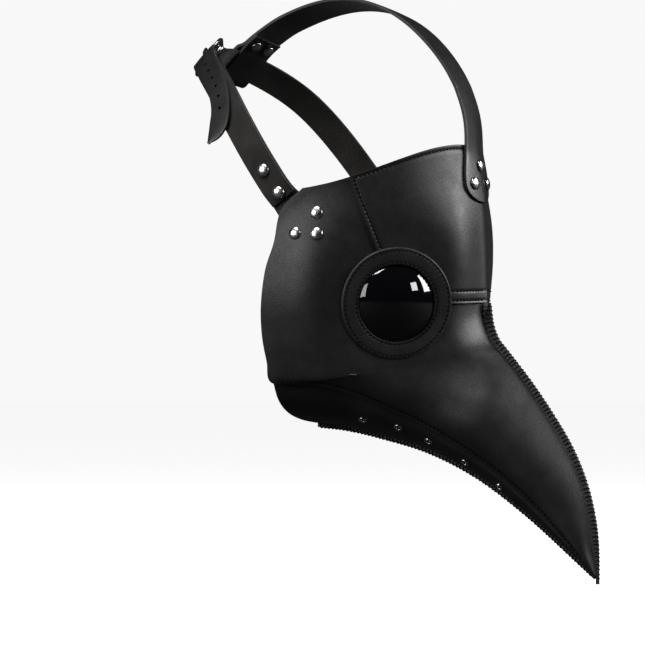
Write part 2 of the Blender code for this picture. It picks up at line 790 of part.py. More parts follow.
def crown_strap():
    centres, normals = crown_over_head()
    loop_centres, loop_normals = crown_loop()
    centres += loop_centres
    normals += loop_normals
    rows = crown_end_rows() + ribbon_rows(centres, normals, [CROWN_HALF] * len(centres), 4)
    made = leather("crown_strap", rows, "leather", STRAP, 0.0)
    holes = holes_at(crown_rivet_places() + loop_rivet_places(), RIVET_HOLE_RADIUS)
    cut(made, cutter("crown_strap_holes", holes))


def loop_point(up, lift):
    rear, normal, down = loop_axes()
    if abs(up) > STRAP_HALF:
        return to_head(rear - down * up, lift)
    return rear - down * up + normal * lift


def crown_loop():
    """Turns the crown strap's rear end round the rear strap and brings it back up inside."""
    rear, normal, down = loop_axes()
    centres = [loop_point(up, lift) for up, lift in LOOP_OUTSIDE]
    normals = [head_normal(centre) for centre in centres[:3]] + [normal] * 3
    outer, inner = LOOP_OUTSIDE[-1][1], LOOP_INSIDE[0][1]
    turn = rear + normal * (outer + inner) / 2 + down * (STRAP_HALF + 2.0)
    steps = 6
    for i in range(steps + 1):
        angle = math.pi * (0.5 - i / steps)
        way = normal * math.sin(angle) + down * math.cos(angle)
        centres.append(turn + way * (outer - inner) / 2)
        normals.append(way)
    back = [loop_point(up, lift) for up, lift in LOOP_INSIDE]
    normals += [normal * -1] * 3 + [head_normal(point) * -1 for point in back[3:]]
    return centres + back, normals


def loop_axes():
    """(middle of the rear strap under the crown strap, outward, down the head across that strap)."""
    rear = route_point(LEFT, CROWN_LOOP_AT, 0.0)
    ahead = route_point(LEFT, CROWN_LOOP_AT + 0.1, 0.0) - rear
    normal = head_normal(rear)
    down = ahead.cross(normal).normalized()
    return rear, normal, down if down.z < 0 else -down


def crown_rivet_places():
    places = []
    for row, out in CROWN_RIVETS:
        across = across_where_out(skin, row, abs(out)) if out else 0.999
        normal = normal_of(skin, row, across)
        point = skin(row, across) + normal * (GAP + STRAP + 0.1)
        if not out:
            point.y = normal.y = 0.0
        side = RIGHT if out < 0 else LEFT
        places.append((world(point, side), turned_way(side, normal)))
    return places


def loop_rivet_places():
    _, normal, down = loop_axes()
    along = normal.cross(down)
    places = []
    middle = loop_point(LOOP_RIVET_UP, LOOP_OUTSIDE[0][1])
    way = head_normal(middle)
    for out in (-LOOP_RIVET_OUT, LOOP_RIVET_OUT):
        places.append(((middle + along * out + way * (STRAP / 2 + 0.2)) * MM, way))
    return places


def rounded_wire(name, points, radius, closed, finish):
    """A wire through world points, welded into one closed mesh."""
    curve = bpy.data.curves.new(name, "CURVE")
    curve.dimensions = "3D"
    curve.bevel_depth = radius * MM
    curve.bevel_resolution = 2
    curve.use_fill_caps = not closed
    line = curve.splines.new("POLY")
    line.points.add(len(points) - 1)
    for point, place in zip(line.points, points):
        point.co = (*(place * MM), 1.0)
    line.use_cyclic_u = closed
    curve_object = bpy.data.objects.new(name + "_line", curve)
    bpy.context.scene.collection.objects.link(curve_object)
    graph = bpy.context.evaluated_depsgraph_get()
    mesh = bpy.data.meshes.new_from_object(curve_object.evaluated_get(graph))
    work = bmesh.new()
    work.from_mesh(mesh)
    bmesh.ops.remove_doubles(work, verts=work.verts, dist=1e-6)
    work.to_mesh(mesh)
    work.free()
    mesh.name = name
    mesh.materials.clear()
    bpy.data.objects.remove(curve_object)
    return mesh_object(name, mesh, finish)


def set_origin(made, place):
    """Moves an object's origin to a world point, in metres, and leaves its mesh where it is."""
    made.data.transform(Matrix.Translation(-place))
    made.location = place


def buckle_frame():
    """A wire frame whose near side is the bar in the right strap's fold."""
    bar, onward, along, _ = buckle_axes()
    corner = 3.0
    points = []
    for x_way, y_way, first in ((1, 1, 0), (-1, 1, 90), (-1, -1, 180), (1, -1, 270)):
        centre_x = corner if x_way < 0 else BUCKLE_LENGTH - corner
        centre = bar + onward * centre_x + along * (y_way * (BUCKLE_HALF - corner))
        for i in range(4):
            angle = math.radians(first + 30 * i)
            points.append(centre + (onward * math.cos(angle) + along * math.sin(angle)) * corner)
    made = rounded_wire("buckle_frame", points, BAR_RADIUS, True, "metal")
    set_origin(made, bar * MM)


def buckle_prong():
    """The tongue: a wire curled round the bar, lying on the frame's far side."""
    bar, onward, _, outward = buckle_axes()
    curl = BAR_RADIUS + PRONG_RADIUS + GAP
    points = []
    steps = 10
    for i in range(steps + 1):
        angle = math.radians(lerp(110, 330, i / steps))
        points.append(bar + (onward * math.cos(angle) + outward * math.sin(angle)) * curl)
    far = bar + onward * BUCKLE_LENGTH
    points = points[::-1]
    points += [
        bar + onward * 4 + outward * (curl + 0.9),
        bar + onward * 11 + outward * (curl + 1.4),
        far + outward * (curl + 0.2),
        far + onward * 2.5 + outward * (curl - 0.3),
    ]
    made = rounded_wire("buckle_prong", points, PRONG_RADIUS, False, "metal")
    set_origin(made, bar * MM)


clear_scene()
PARTS = new_collection("plague_doctor_mask")
CUTTERS = new_collection("cutters")


def build():
    brow_panel()
    fin("ridge_binding", RIDGE_FIN, 1)
    fin("keel_binding", KEEL_FIN, -1)
    for side_name, side in SIDES.items():
        side_panel("side_panel_" + side_name, side)
        gusset("underside_gusset_" + side_name, side)
        eye_ring("eye_ring_" + side_name, side)
        lens("lens_" + side_name, side)
        eyelets(side_name, side)
        root_rivets(side_name, side)
    crown_strap()
    right_strap()
    left_strap()
    for index, (place, axis) in enumerate(crown_rivet_places(), 1):
        rivet(f"crown_rivet_{index}", place, axis, CROWN_STACK)
    for index, (place, axis) in enumerate(loop_rivet_places(), 1):
        rivet(f"loop_rivet_{index}", place, axis, LOOP_STACK)
    for index, (place, axis) in enumerate(return_rivet_places(), 1):
        rivet(f"return_rivet_{index}", place, axis, RETURN_STACK)
    buckle_frame()
    buckle_prong()


build()
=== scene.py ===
import json
import math

import bmesh
import bpy
import numpy as np
from mathutils import Matrix, Vector, kdtree, noise

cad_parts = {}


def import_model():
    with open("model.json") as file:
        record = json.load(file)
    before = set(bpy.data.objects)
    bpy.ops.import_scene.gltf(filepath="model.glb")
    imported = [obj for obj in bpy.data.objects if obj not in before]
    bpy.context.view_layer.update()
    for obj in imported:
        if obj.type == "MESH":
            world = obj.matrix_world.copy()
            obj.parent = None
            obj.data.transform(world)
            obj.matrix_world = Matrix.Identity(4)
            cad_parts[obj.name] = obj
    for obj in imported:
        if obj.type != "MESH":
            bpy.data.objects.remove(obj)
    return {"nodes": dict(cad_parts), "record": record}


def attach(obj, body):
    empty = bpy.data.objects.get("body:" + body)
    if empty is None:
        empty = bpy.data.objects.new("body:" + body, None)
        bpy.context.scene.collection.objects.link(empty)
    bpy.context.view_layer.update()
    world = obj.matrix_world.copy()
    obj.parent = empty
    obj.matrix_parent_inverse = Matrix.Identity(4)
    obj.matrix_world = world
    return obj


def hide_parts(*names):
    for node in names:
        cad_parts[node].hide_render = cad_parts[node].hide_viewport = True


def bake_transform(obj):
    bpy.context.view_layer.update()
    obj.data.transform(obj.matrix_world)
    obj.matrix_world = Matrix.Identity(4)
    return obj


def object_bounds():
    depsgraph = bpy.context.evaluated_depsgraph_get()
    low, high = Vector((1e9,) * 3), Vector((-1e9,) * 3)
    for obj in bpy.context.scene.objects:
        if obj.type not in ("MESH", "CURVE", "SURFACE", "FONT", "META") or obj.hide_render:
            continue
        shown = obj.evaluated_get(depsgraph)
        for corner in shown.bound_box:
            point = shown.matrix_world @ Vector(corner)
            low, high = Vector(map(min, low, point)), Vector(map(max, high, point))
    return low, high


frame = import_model()
CAD_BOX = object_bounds()

# The looks of the plague doctor mask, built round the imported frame. Shapes are worked out in
# millimetres. A mask point is (forward, out, up), where forward is -Y and out is the distance
# from the middle plane; a harness point is in world axes. Meshes are in metres.

MM = 0.001
RIGHT, LEFT = -1, 1
SIDES = {"right": RIGHT, "left": LEFT}

LEATHER = 1.6
STRAP = 2.0
GAP = 0.3
ROOT_GAP = 1.9
LAP_GAP = 0.8
TUCK_GAP = 0.15
EYE_ROW = 4
JAW_ROW = 7
ROW_MM = 23.0
EYE_ACROSS = 0.585
SEAM_TOP_ACROSS = 0.225
EYE_TURN = 52.0
EYE_DROOP = 6.0
LENS_RADIUS = 25.0
LENS_RISE = 9.0
RING_RADIUS = 37.0
FLAT_RADIUS = 40.0
BLEND_RADIUS = 92.0
NOSE_FADE = 30.0
EYE_HOLE = 27.6
LENS_WALL = 1.8
LENS_FLANGE = 4.5
LENS_RIM = 0.35
EYELET_HOLE_RADIUS = 2.2
STRAP_HALF = 9.5
ROOT_HALF = 14.0
CROWN_HALF = 12.5
CROWN_END_HALF = 17.0
BAR_RADIUS = 1.5
BUCKLE_LENGTH = 20.0
BUCKLE_CORNER = 3.0
BUCKLE_TILT = -6.0
BUCKLE_HALF = 12.5
PRONG_RADIUS = 1.1
HOLE_PITCH = 9.5
HOLE_COUNT = 9
HOLE_RADIUS = 1.2
PRONG_HOLE_RADIUS = 3.4
PRONG_SLOT = (11.5, 4.0, 11.0)
RETURN_END = 2.6
TAIL_NARROWING = 1.9
TAIL_POINT = 1.5
TAIL_TIP_HALF = 0.7
ROOT_END = 3.4
CROWN_END_ROW = 1.47
RING_EASE = 20.0
STITCH_PITCH = 3.0
WHIP_PITCH = 2.7
OUTER_STITCH, INNER_STITCH = 35.1, 27.2
SEAM_INSET = 3.0
TOP_INSET = 2.4
LOW_INSETS = (2.0, 7.7)
OUTER_CELLS, INNER_CELLS = 34, 26
BROAD_WAVE, SMALL_WAVE = 0.7, 0.14
FIN_TAPER = 0.6
THREAD_RADIUS = 0.34

HEAD_CENTRE = Vector((0.0, 0.0, 73.0))
HEAD_HALF = (78.0, 113.0, 125.0)
HEAD_LEAN = 0.088

# From the back edge or lower seam to the ridge on the middle plane: (edge point),
# (ridge forward, up), (direction leaving the edge), (direction leaving the ridge).
STATIONS = (
    ((22.4, 81, 73.3), (110.5, 101), (1.0, -0.12, 0.12), (-0.10, 1.0, 0.16)),
    ((8.0, 83, 59.3), (115.0, 76), (1.0, -0.10, 0.04), (-0.14, 1.0, 0.08)),
    ((2.5, 84, 38.0), (118.0, 50), (1.0, -0.08, 0.00), (-0.24, 1.0, 0.02)),
    ((-4.2, 84, 19.5), (119.3, 25), (1.0, -0.08, 0.00), (-0.36, 0.95, 0.0)),
    ((-7.6, 83, -3.0), (120.0, -2), (1.0, -0.08, 0.00), (-0.48, 0.88, 0.0)),
    ((-7.9, 80, -22.7), (122.0, -17), (1.0, -0.10, 0.00), (-0.52, 0.85, 0.0)),
    ((-5.5, 76, -41.0), (126.0, -28), (1.0, -0.10, 0.04), (-0.52, 0.84, 0.0)),
    ((-2.7, 72, -55.3), (131.5, -35), (1.0, -0.06, 0.10), (-0.50, 0.84, -0.06)),
    ((23.5, 64, -55.9), (139.0, -43), (0.95, 0.02, 0.25), (-0.50, 0.82, -0.12)),
    ((43.7, 54, -61.3), (146.0, -51.5), (0.85, 0.12, 0.40), (-0.48, 0.80, -0.18)),
    ((64.7, 44, -71.3), (153.0, -60.5), (0.78, 0.22, 0.50), (-0.48, 0.78, -0.22)),
    ((84.5, 35, -81.3), (160.0, -70), (0.74, 0.30, 0.55), (-0.48, 0.76, -0.26)),
    ((106.7, 27.5, -94.5), (169.0, -83.5), (0.72, 0.36, 0.48), (-0.50, 0.76, -0.26)),
    ((124.8, 22, -106.7), (176.5, -96), (0.74, 0.40, 0.40), (-0.54, 0.76, -0.22)),
    ((140.6, 17.8, -119.3), (183.0, -109), (0.76, 0.42, 0.32), (-0.58, 0.76, -0.18)),
    ((161.3, 12, -139.3), (190.2, -128), (0.78, 0.42, 0.26), (-0.62, 0.74, -0.14)),
    ((179.5, 8, -159.0), (194.8, -150), (0.80, 0.42, 0.20), (-0.64, 0.74, -0.10)),
    ((190.0, 5.6, -171.5), (196.6, -166), (0.80, 0.40, 0.20), (-0.66, 0.72, -0.10)),
)
KEEL = (
    (-3, -82), (20, -84.5), (36, -88), (58, -93), (80, -99.5), (104, -110.5),
    (124, -122.5), (141, -134.5), (162, -151), (180, -166), (189.5, -174),
)
RIDGE_FIN = (
    (122.5, -2), (124.5, -16), (128.5, -26), (134.3, -33), (151.8, -54), (167.4, -75.3),
    (181.1, -96.7), (190.7, -118), (196.7, -139.3), (199.7, -160.7), (200.3, -186.7),
)
KEEL_FIN = (
    (-3, -84.7), (18.4, -87), (42.7, -92), (78, -101.8), (113.3, -118.5), (148.6, -143),
    (183.9, -172.5), (196.5, -183.5),
)
# The rear strap: half of its line, from the root under the panel to the middle of the back.
STRAP_ROUTE = (
    (36, 80, 38), (27, 80, 49), (15, 79, 60), (5.5, 78, 71), (-5, 76, 85.5), (-28, 70, 117),
    (-44, 58, 136), (-62, 37, 151.5), (-70.5, 20, 158.5), (-73, 6, 161), (-73.3, 0, 161.3),
)
BEAK_TIP = (198.6, 1.0, -183.0)
TAIL_ROUTE = (
    (-70, 21, 158.2, 9.6), (-65, 31, 154.5, 8.8), (-56, 43, 147.5, 7.2), (-45, 56, 137, 6.6),
    (-39, 63, 124, 6.6), (-39, 67, 112, 7.2), (-45, 69, 101.5, 8.4),
)
CROWN_DRIFT = 20.0
CROWN_LOOP_AT = 7.9
BUCKLE_AT = 7.65
LOOP_OUTSIDE = ((25, 1.4), (17, 1.4), (13, 2.6), (9.5, 4.2), (0, 4.2), (-9.5, 4.2))
LOOP_INSIDE = ((-9.5, -2.6), (0, -2.6), (9.5, -2.6), (14, -1.4), (20, -1.1), (27, -1.1))

# The camera and the floor, in metres and degrees.
CAMERA_DISTANCE = 5.0
VIEW_WIDTH = 0.43
CAMERA_TURN = -65.0
CAMERA_TARGET = Vector((0.0, 0.0, -0.015))
FLOOR_GAP = 0.012
FLOOR_RADIUS = 12.0


# Curves and surfaces.


def lerp(a, b, share):
    return a + (b - a) * share


def smooth(low, high, value):
    share = min(max((value - low) / (high - low), 0.0), 1.0)
    return share * share * (3 - 2 * share)


def spline(points, place):
    """A point on the smooth curve through the points; place counts in points."""
    last = len(points) - 1
    index = min(max(int(math.floor(place)), 0), last - 1)
    share = place - index
    before = points[index - 1] if index else points[0] * 2 - points[1]
    after = points[index + 2] if index + 2 <= last else points[last] * 2 - points[last - 1]
    a, b = points[index], points[index + 1]
    bend = (before * -1 + a * 3 - b * 3 + after) * share**3
    lean = (before * 2 - a * 5 + b * 4 - after) * share**2
    return (a * 2 + (b - before) * share + lean + bend) * 0.5


EDGE = [Vector(row[0]) for row in STATIONS]
RIDGE = [Vector((row[1][0], 0.0, row[1][1])) for row in STATIONS]
EDGE_WAY = [Vector(row[2]).normalized() for row in STATIONS]
RIDGE_WAY = [Vector(row[3]).normalized() for row in STATIONS]
KEEL_LINE = [Vector((forward, 0.0, up)) for forward, up in KEEL]
LAST_ROW = len(STATIONS) - 1
EYE_NORMAL = Vector((
    math.cos(math.radians(EYE_TURN)) * math.cos(math.radians(EYE_DROOP)),
    math.sin(math.radians(EYE_TURN)) * math.cos(math.radians(EYE_DROOP)),
    -math.sin(math.radians(EYE_DROOP)),
))


def bezier(start, first, second, end, share):
    other = 1 - share
    return (
        start * other**3 + first * 3 * other**2 * share
        + second * 3 * other * share**2 + end * share**3
    )


def loft_point(row, across):
    """The mask's outer surface before the leather is drawn flat round the eye."""
    start, end = spline(EDGE, row), spline(RIDGE, row)
    reach = 0.4 * (end - start).length
    first = start + spline(EDGE_WAY, row) * reach
    second = end + spline(RIDGE_WAY, row) * reach
    return bezier(start, first, second, end, across)


EYE = loft_point(EYE_ROW, EYE_ACROSS)


def skin(row, across):
    point = loft_point(row, across)
    height = (point - EYE).dot(EYE_NORMAL)
    flat = point - EYE_NORMAL * height
    pull = 1 - smooth(FLAT_RADIUS, BLEND_RADIUS, (flat - EYE).length)
    pull *= smooth(0.0, NOSE_FADE, point.y)
    return point - EYE_NORMAL * (height * pull)


def normal_of(surface, row, across):
    """The outward unit normal of a surface given as a function of row and across."""
    step = 0.004
    low = min(max(across - step, 0.0), 1.0 - step)
    high = max(min(across + step, 1.0), step)
    along = surface(row + step, across) - surface(row - step, across)
    over = surface(row, high) - surface(row, low)
    return over.cross(along).normalized()


def underside(row, across):
    """The underside between the lower seam (0) and the keel (1)."""
    start, end = spline(EDGE, row), spline(KEEL_LINE, row - JAW_ROW)
    width = start.y
    first = start + Vector((0.0, -0.15, -0.30)) * width
    second = end + Vector((0.0, 0.45, 0.03)) * width
    return bezier(start, first, second, end, across)


def seam_across(row):
    """Where the seam between brow and side runs, as a share of the way to the ridge."""
    share = min(max(row / EYE_ROW, 0.0), 1.0)
    return lerp(SEAM_TOP_ACROSS, EYE_ACROSS, share**0.9)


def across_where_out(surface, row, out):
    """The share across at which the surface comes within out of the middle plane."""
    low, high = 0.5, 1.0
    for _ in range(24):
        middle = (low + high) / 2
        if surface(row, middle).y > out:
            low = middle
        else:
            high = middle
    return high


def width_of(row):
    """The way from the edge to the ridge along the surface, in millimetres."""
    points = [loft_point(row, i / 8) for i in range(9)]
    return sum((b - a).length for a, b in zip(points, points[1:]))


def side_depth(row):
    """The side panel lies under the brow panel above the eye, and comes out below it."""
    return (LEATHER + LAP_GAP) * (1 - smooth(EYE_ROW + 0.3, JAW_ROW, row))


def wave(point, side):
    """How far the leather stands off its even surface: soft hollows and rises of a worked hide."""
    far = smooth(RING_RADIUS + 5, RING_RADIUS + 30, (point - EYE).length)
    tip = smooth(0, 14, point.y)
    seed = Vector((0.0, 0.0, 40.0 * side))
    broad = noise.noise(point * 0.021 + seed) * BROAD_WAVE
    small = noise.noise(point * 0.075 + seed) * SMALL_WAVE
    return (broad + small) * far * tip


def groove(distance, depth=0.5, half=0.85):
    """The channel that a row of stitches pulls into the leather."""
    return depth * math.exp(-((distance / half) ** 2))


def world(point, side):
    return Vector((side * point.y, -point.x, point.z)) * MM


def turned_way(side, normal):
    return Vector((side * normal.y, -normal.x, normal.z)).normalized()


def refined(first, last, step, lines, unit):
    """Places from first to last, step apart, and closer together at each line."""
    count = max(round((last - first) / step), 1)
    even = [lerp(first, last, i / count) for i in range(count + 1)]
    close = [line + unit * offset for line in lines for offset in (-1.5, -0.9, -0.45, 0, 0.45, 0.9, 1.5)]
    close += [first + 0.35 * unit, last - 0.35 * unit]
    close = [place for place in close if first < place < last]
    kept = [
        place for place in even[1:-1]
        if min([abs(place - near) for near in close] + [1e9]) > 0.4 * unit
    ]
    return sorted([even[0], even[-1]] + kept + close)


# Materials.


def node(tree, kind, **inputs):
    made = tree.nodes.new(kind)
    for name, value in inputs.items():
        made.inputs[name.replace("_", " ")].default_value = value
    return made


def place_of(tree):
    return tree.nodes.new("ShaderNodeTexCoord").outputs["Object"]


def noise_at(tree, place, scale, detail=4.0, roughness=0.55):
    made = node(tree, "ShaderNodeTexNoise", Scale=scale, Detail=detail, Roughness=roughness)
    tree.links.new(place, made.inputs["Vector"])
    return made.outputs["Fac"]


def cells_at(tree, place, scale):
    made = node(tree, "ShaderNodeTexVoronoi", Scale=scale)
    tree.links.new(place, made.inputs["Vector"])
    return made.outputs["Distance"]


def spread(tree, value, low, high, dark, light):
    made = node(tree, "ShaderNodeMapRange", From_Min=low, From_Max=high, To_Min=dark, To_Max=light)
    tree.links.new(value, made.inputs["Value"])
    return made.outputs["Result"]


def ramp(tree, value, low, high, dark, light):
    made = tree.nodes.new("ShaderNodeValToRGB")
    first, last = made.color_ramp.elements
    first.position, last.position = low, high
    first.color, last.color = (*dark, 1.0), (*light, 1.0)
    tree.links.new(value, made.inputs["Fac"])
    return made.outputs["Color"]


def bump(tree, height, distance, strength, below=None):
    made = node(tree, "ShaderNodeBump", Strength=strength, Distance=distance)
    tree.links.new(height, made.inputs["Height"])
    if below:
        tree.links.new(below, made.inputs["Normal"])
    return made.outputs["Normal"]


def material(name, **values):
    made = bpy.data.materials.new(name)
    made.use_nodes = True
    shader = made.node_tree.nodes["Principled BSDF"]
    for key, value in values.items():
        shader.inputs[key.replace("_", " ")].default_value = value
    return made, made.node_tree, shader


def feed(shader, **outputs):
    """Links node outputs to the shader's inputs of the same names."""
    for key, output in outputs.items():
        shader.id_data.links.new(output, shader.inputs[key.replace("_", " ")])


def smooth_leather(name, dark, light, rough, grain=1.0):
    """Finished black cowhide: faint pebbled grain, fine pores, soft blotches and scuffed shine."""
    made, tree, shader = material(name, Specular_IOR_Level=0.5, Coat_Weight=0.12, Coat_Roughness=0.34)
    place = place_of(tree)
    blotch = noise_at(tree, place, 34, 6)
    scuff = noise_at(tree, place, 120, 8, 0.7)
    pebbles = bump(tree, cells_at(tree, place, 820), 0.00012, 0.35 * grain)
    pores = bump(tree, noise_at(tree, place, 2600, 3), 0.00006, 0.45 * grain, pebbles)
    pulls = bump(tree, noise_at(tree, place, 210, 5), 0.0003, 0.22 * grain, pores)
    feed(
        shader, Base_Color=ramp(tree, blotch, 0.35, 0.7, dark, light),
        Roughness=spread(tree, scuff, 0.3, 0.7, rough - 0.05, rough + 0.07), Normal=pulls,
    )
    return made


def cut_edge(name):
    """A burnished cut edge: greyer, streaked along its plies and a little worn."""
    made, tree, shader = material(name, Specular_IOR_Level=0.4)
    streak = noise_at(tree, place_of(tree), 900, 6, 0.7)
    feed(
        shader, Base_Color=ramp(tree, streak, 0.3, 0.75, (0.012, 0.011, 0.011), (0.06, 0.056, 0.052)),
        Roughness=spread(tree, streak, 0.3, 0.7, 0.38, 0.62), Normal=bump(tree, streak, 0.0002, 0.5),
    )
    return made


def flesh_side(name):
    """The undyed-through back of the hide: matt, napped and darker in the hollows."""
    made, tree, shader = material(name, Sheen_Weight=0.25, Sheen_Roughness=0.5, Specular_IOR_Level=0.2)
    place = place_of(tree)
    nap = noise_at(tree, place, 1500, 8, 0.75)
    patch = noise_at(tree, place, 45, 5)
    feed(
        shader, Base_Color=ramp(tree, patch, 0.3, 0.7, (0.014, 0.013, 0.012), (0.034, 0.031, 0.029)),
        Roughness=spread(tree, nap, 0.3, 0.7, 0.78, 0.95), Normal=bump(tree, nap, 0.0004, 0.7),
    )
    return made


def waxed_thread(name):
    made, tree, shader = material(name, Specular_IOR_Level=0.12)
    ply = noise_at(tree, place_of(tree), 2200, 4)
    feed(
        shader, Base_Color=ramp(tree, ply, 0.3, 0.7, (0.002, 0.002, 0.002), (0.008, 0.008, 0.008)),
        Roughness=spread(tree, ply, 0.3, 0.7, 0.7, 0.9), Normal=bump(tree, ply, 0.0002, 0.6),
    )
    return made


def plated_metal(name):
    """Polished nickel with hairline scratches and a faint dulling."""
    made, tree, shader = material(name, Metallic=1.0)
    place = place_of(tree)
    haze = noise_at(tree, place, 420, 6, 0.6)
    scratches = noise_at(tree, place, 3000, 3)
    feed(
        shader, Base_Color=ramp(tree, haze, 0.3, 0.75, (0.60, 0.60, 0.62), (0.84, 0.84, 0.83)),
        Roughness=spread(tree, haze, 0.3, 0.7, 0.16, 0.34), Normal=bump(tree, scratches, 0.00002, 0.3),
    )
    return made


def lens_plastic(name):
    made, tree, shader = material(
        name, Base_Color=(0.003, 0.003, 0.004, 1.0), Specular_IOR_Level=0.6, Coat_Weight=0.6,
        Coat_Roughness=0.02,
    )
    smear = noise_at(tree, place_of(tree), 90, 6, 0.65)
    feed(shader, Roughness=spread(tree, smear, 0.45, 0.8, 0.025, 0.10))
    return made


PANEL_HIDE = smooth_leather("panel_hide", (0.011, 0.011, 0.0115), (0.021, 0.021, 0.022), 0.44)
STRAP_HIDE = smooth_leather("strap_hide", (0.013, 0.013, 0.0135), (0.026, 0.026, 0.027), 0.36, 0.8)
RING_HIDE = smooth_leather("ring_hide", (0.012, 0.012, 0.0125), (0.022, 0.022, 0.023), 0.46, 1.2)
CUT_EDGE = cut_edge("cut_edge")
FLESH = flesh_side("flesh_side")
THREAD = waxed_thread("waxed_thread")
NICKEL = plated_metal("polished_nickel")
LENS_BLACK = lens_plastic("lens_black")


# Meshes.


def link(name, data):
    made = bpy.data.objects.new(name, data)
    bpy.context.scene.collection.objects.link(made)
    return made


def new_object(name, mesh, materials):
    made = link(name, mesh)
    for paint in materials:
        mesh.materials.append(paint)
    return made


def mesh_from(work, name):
    """The mesh of a bmesh, which is freed."""
    mesh = bpy.data.meshes.new(name)
    work.to_mesh(mesh)
    work.free()
    return mesh


def placed(made, body, cad_node=None):
    """Gives a piece its body, and lets it stand for a CAD node."""
    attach(made, body)
    if cad_node:
        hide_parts(cad_node)


def settle(made):
    """Replaces an object's mesh by what its modifiers make of it."""
    graph = bpy.context.evaluated_depsgraph_get()
    mesh = bpy.data.meshes.new_from_object(made.evaluated_get(graph))
    made.modifiers.clear()
    made.data = mesh
    mesh.shade_smooth()


def grid_mesh(name, rows, keep=None, flip=False):
    """An open mesh of quads on rows of points, leaving out the cells that keep refuses."""
    work = bmesh.new()
    verts = [[work.verts.new(point) for point in row] for row in rows]
    for i in range(len(rows) - 1):
        for j in range(len(rows[0]) - 1):
            if keep and not keep(i, j):
                continue
            corners = [verts[i][j], verts[i + 1][j], verts[i + 1][j + 1], verts[i][j + 1]]
            work.faces.new(corners[::-1] if flip else corners)
    loose = [vert for vert in work.verts if not vert.link_faces]
    bmesh.ops.delete(work, geom=loose, context="VERTS")
    return mesh_from(work, name)


def hide_piece(cad_node, rows, thickness=LEATHER, offset=-1.0, keep=None, flip=False,
               hide=PANEL_HIDE, cutters=(), edge=0.5):
    """A piece of leather with grain side, flesh side and rounded, burnished cut edges."""
    name = cad_node + "_leather"
    made = new_object(name, grid_mesh(name, rows, keep, flip), (hide, FLESH, CUT_EDGE))
    solid = made.modifiers.new("thickness", "SOLIDIFY")
    solid.thickness = thickness * MM
    solid.offset = offset
    solid.material_offset = 1
    solid.material_offset_rim = 2
    for tool in cutters:
        boolean = made.modifiers.new("holes", "BOOLEAN")
        boolean.operation = "DIFFERENCE"
        boolean.object = tool
    rounded = made.modifiers.new("edges", "BEVEL")
    rounded.width = edge * MM
    rounded.segments = 3
    rounded.limit_method = "ANGLE"
    rounded.angle_limit = math.radians(48)
    settle(made)
    for tool in cutters:
        bpy.data.objects.remove(tool, do_unlink=True)
    return made


def panel(cad_node, rows, **how):
    """A panel of the mask itself."""
    placed(hide_piece(cad_node, rows, **how), "mask", cad_node)


def strap(cad_node, rows, cutters=()):
    """A strap that leaves the mask and goes over to the harness from one place to another."""
    made = hide_piece(
        cad_node, rows, thickness=STRAP, offset=0.0, hide=STRAP_HIDE, cutters=cutters, edge=0.6,
    )
    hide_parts(cad_node)
    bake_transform(made)


def hole_cutter(holes):
    """Cylinders in one helper object; each hole is (centre, axis, radius, length)."""
    work = bmesh.new()
    for centre, axis, radius, length in holes:
        turn = Vector((0, 0, 1)).rotation_difference(axis).to_matrix().to_4x4()
        bmesh.ops.create_cone(
            work, cap_ends=True, segments=20, radius1=radius * MM, radius2=radius * MM,
            depth=length * MM, matrix=Matrix.Translation(centre) @ turn,
        )
    return helper(work)


def slot_cutter(centre, onward, along, outward, size):
    work = bmesh.new()
    bmesh.ops.create_cube(work, size=1.0)
    turn = Matrix((onward, along, outward)).transposed()
    scale = Matrix.Diagonal([length * MM for length in size])
    place = Matrix.Translation(centre * MM) @ (turn @ scale).to_4x4()
    bmesh.ops.transform(work, matrix=place, verts=work.verts)
    if place.determinant() < 0:
        bmesh.ops.reverse_faces(work, faces=work.faces)
    return helper(work)


def helper(work):
    made = link("cutter", mesh_from(work, "cutter"))
    made.hide_render = True
    return made


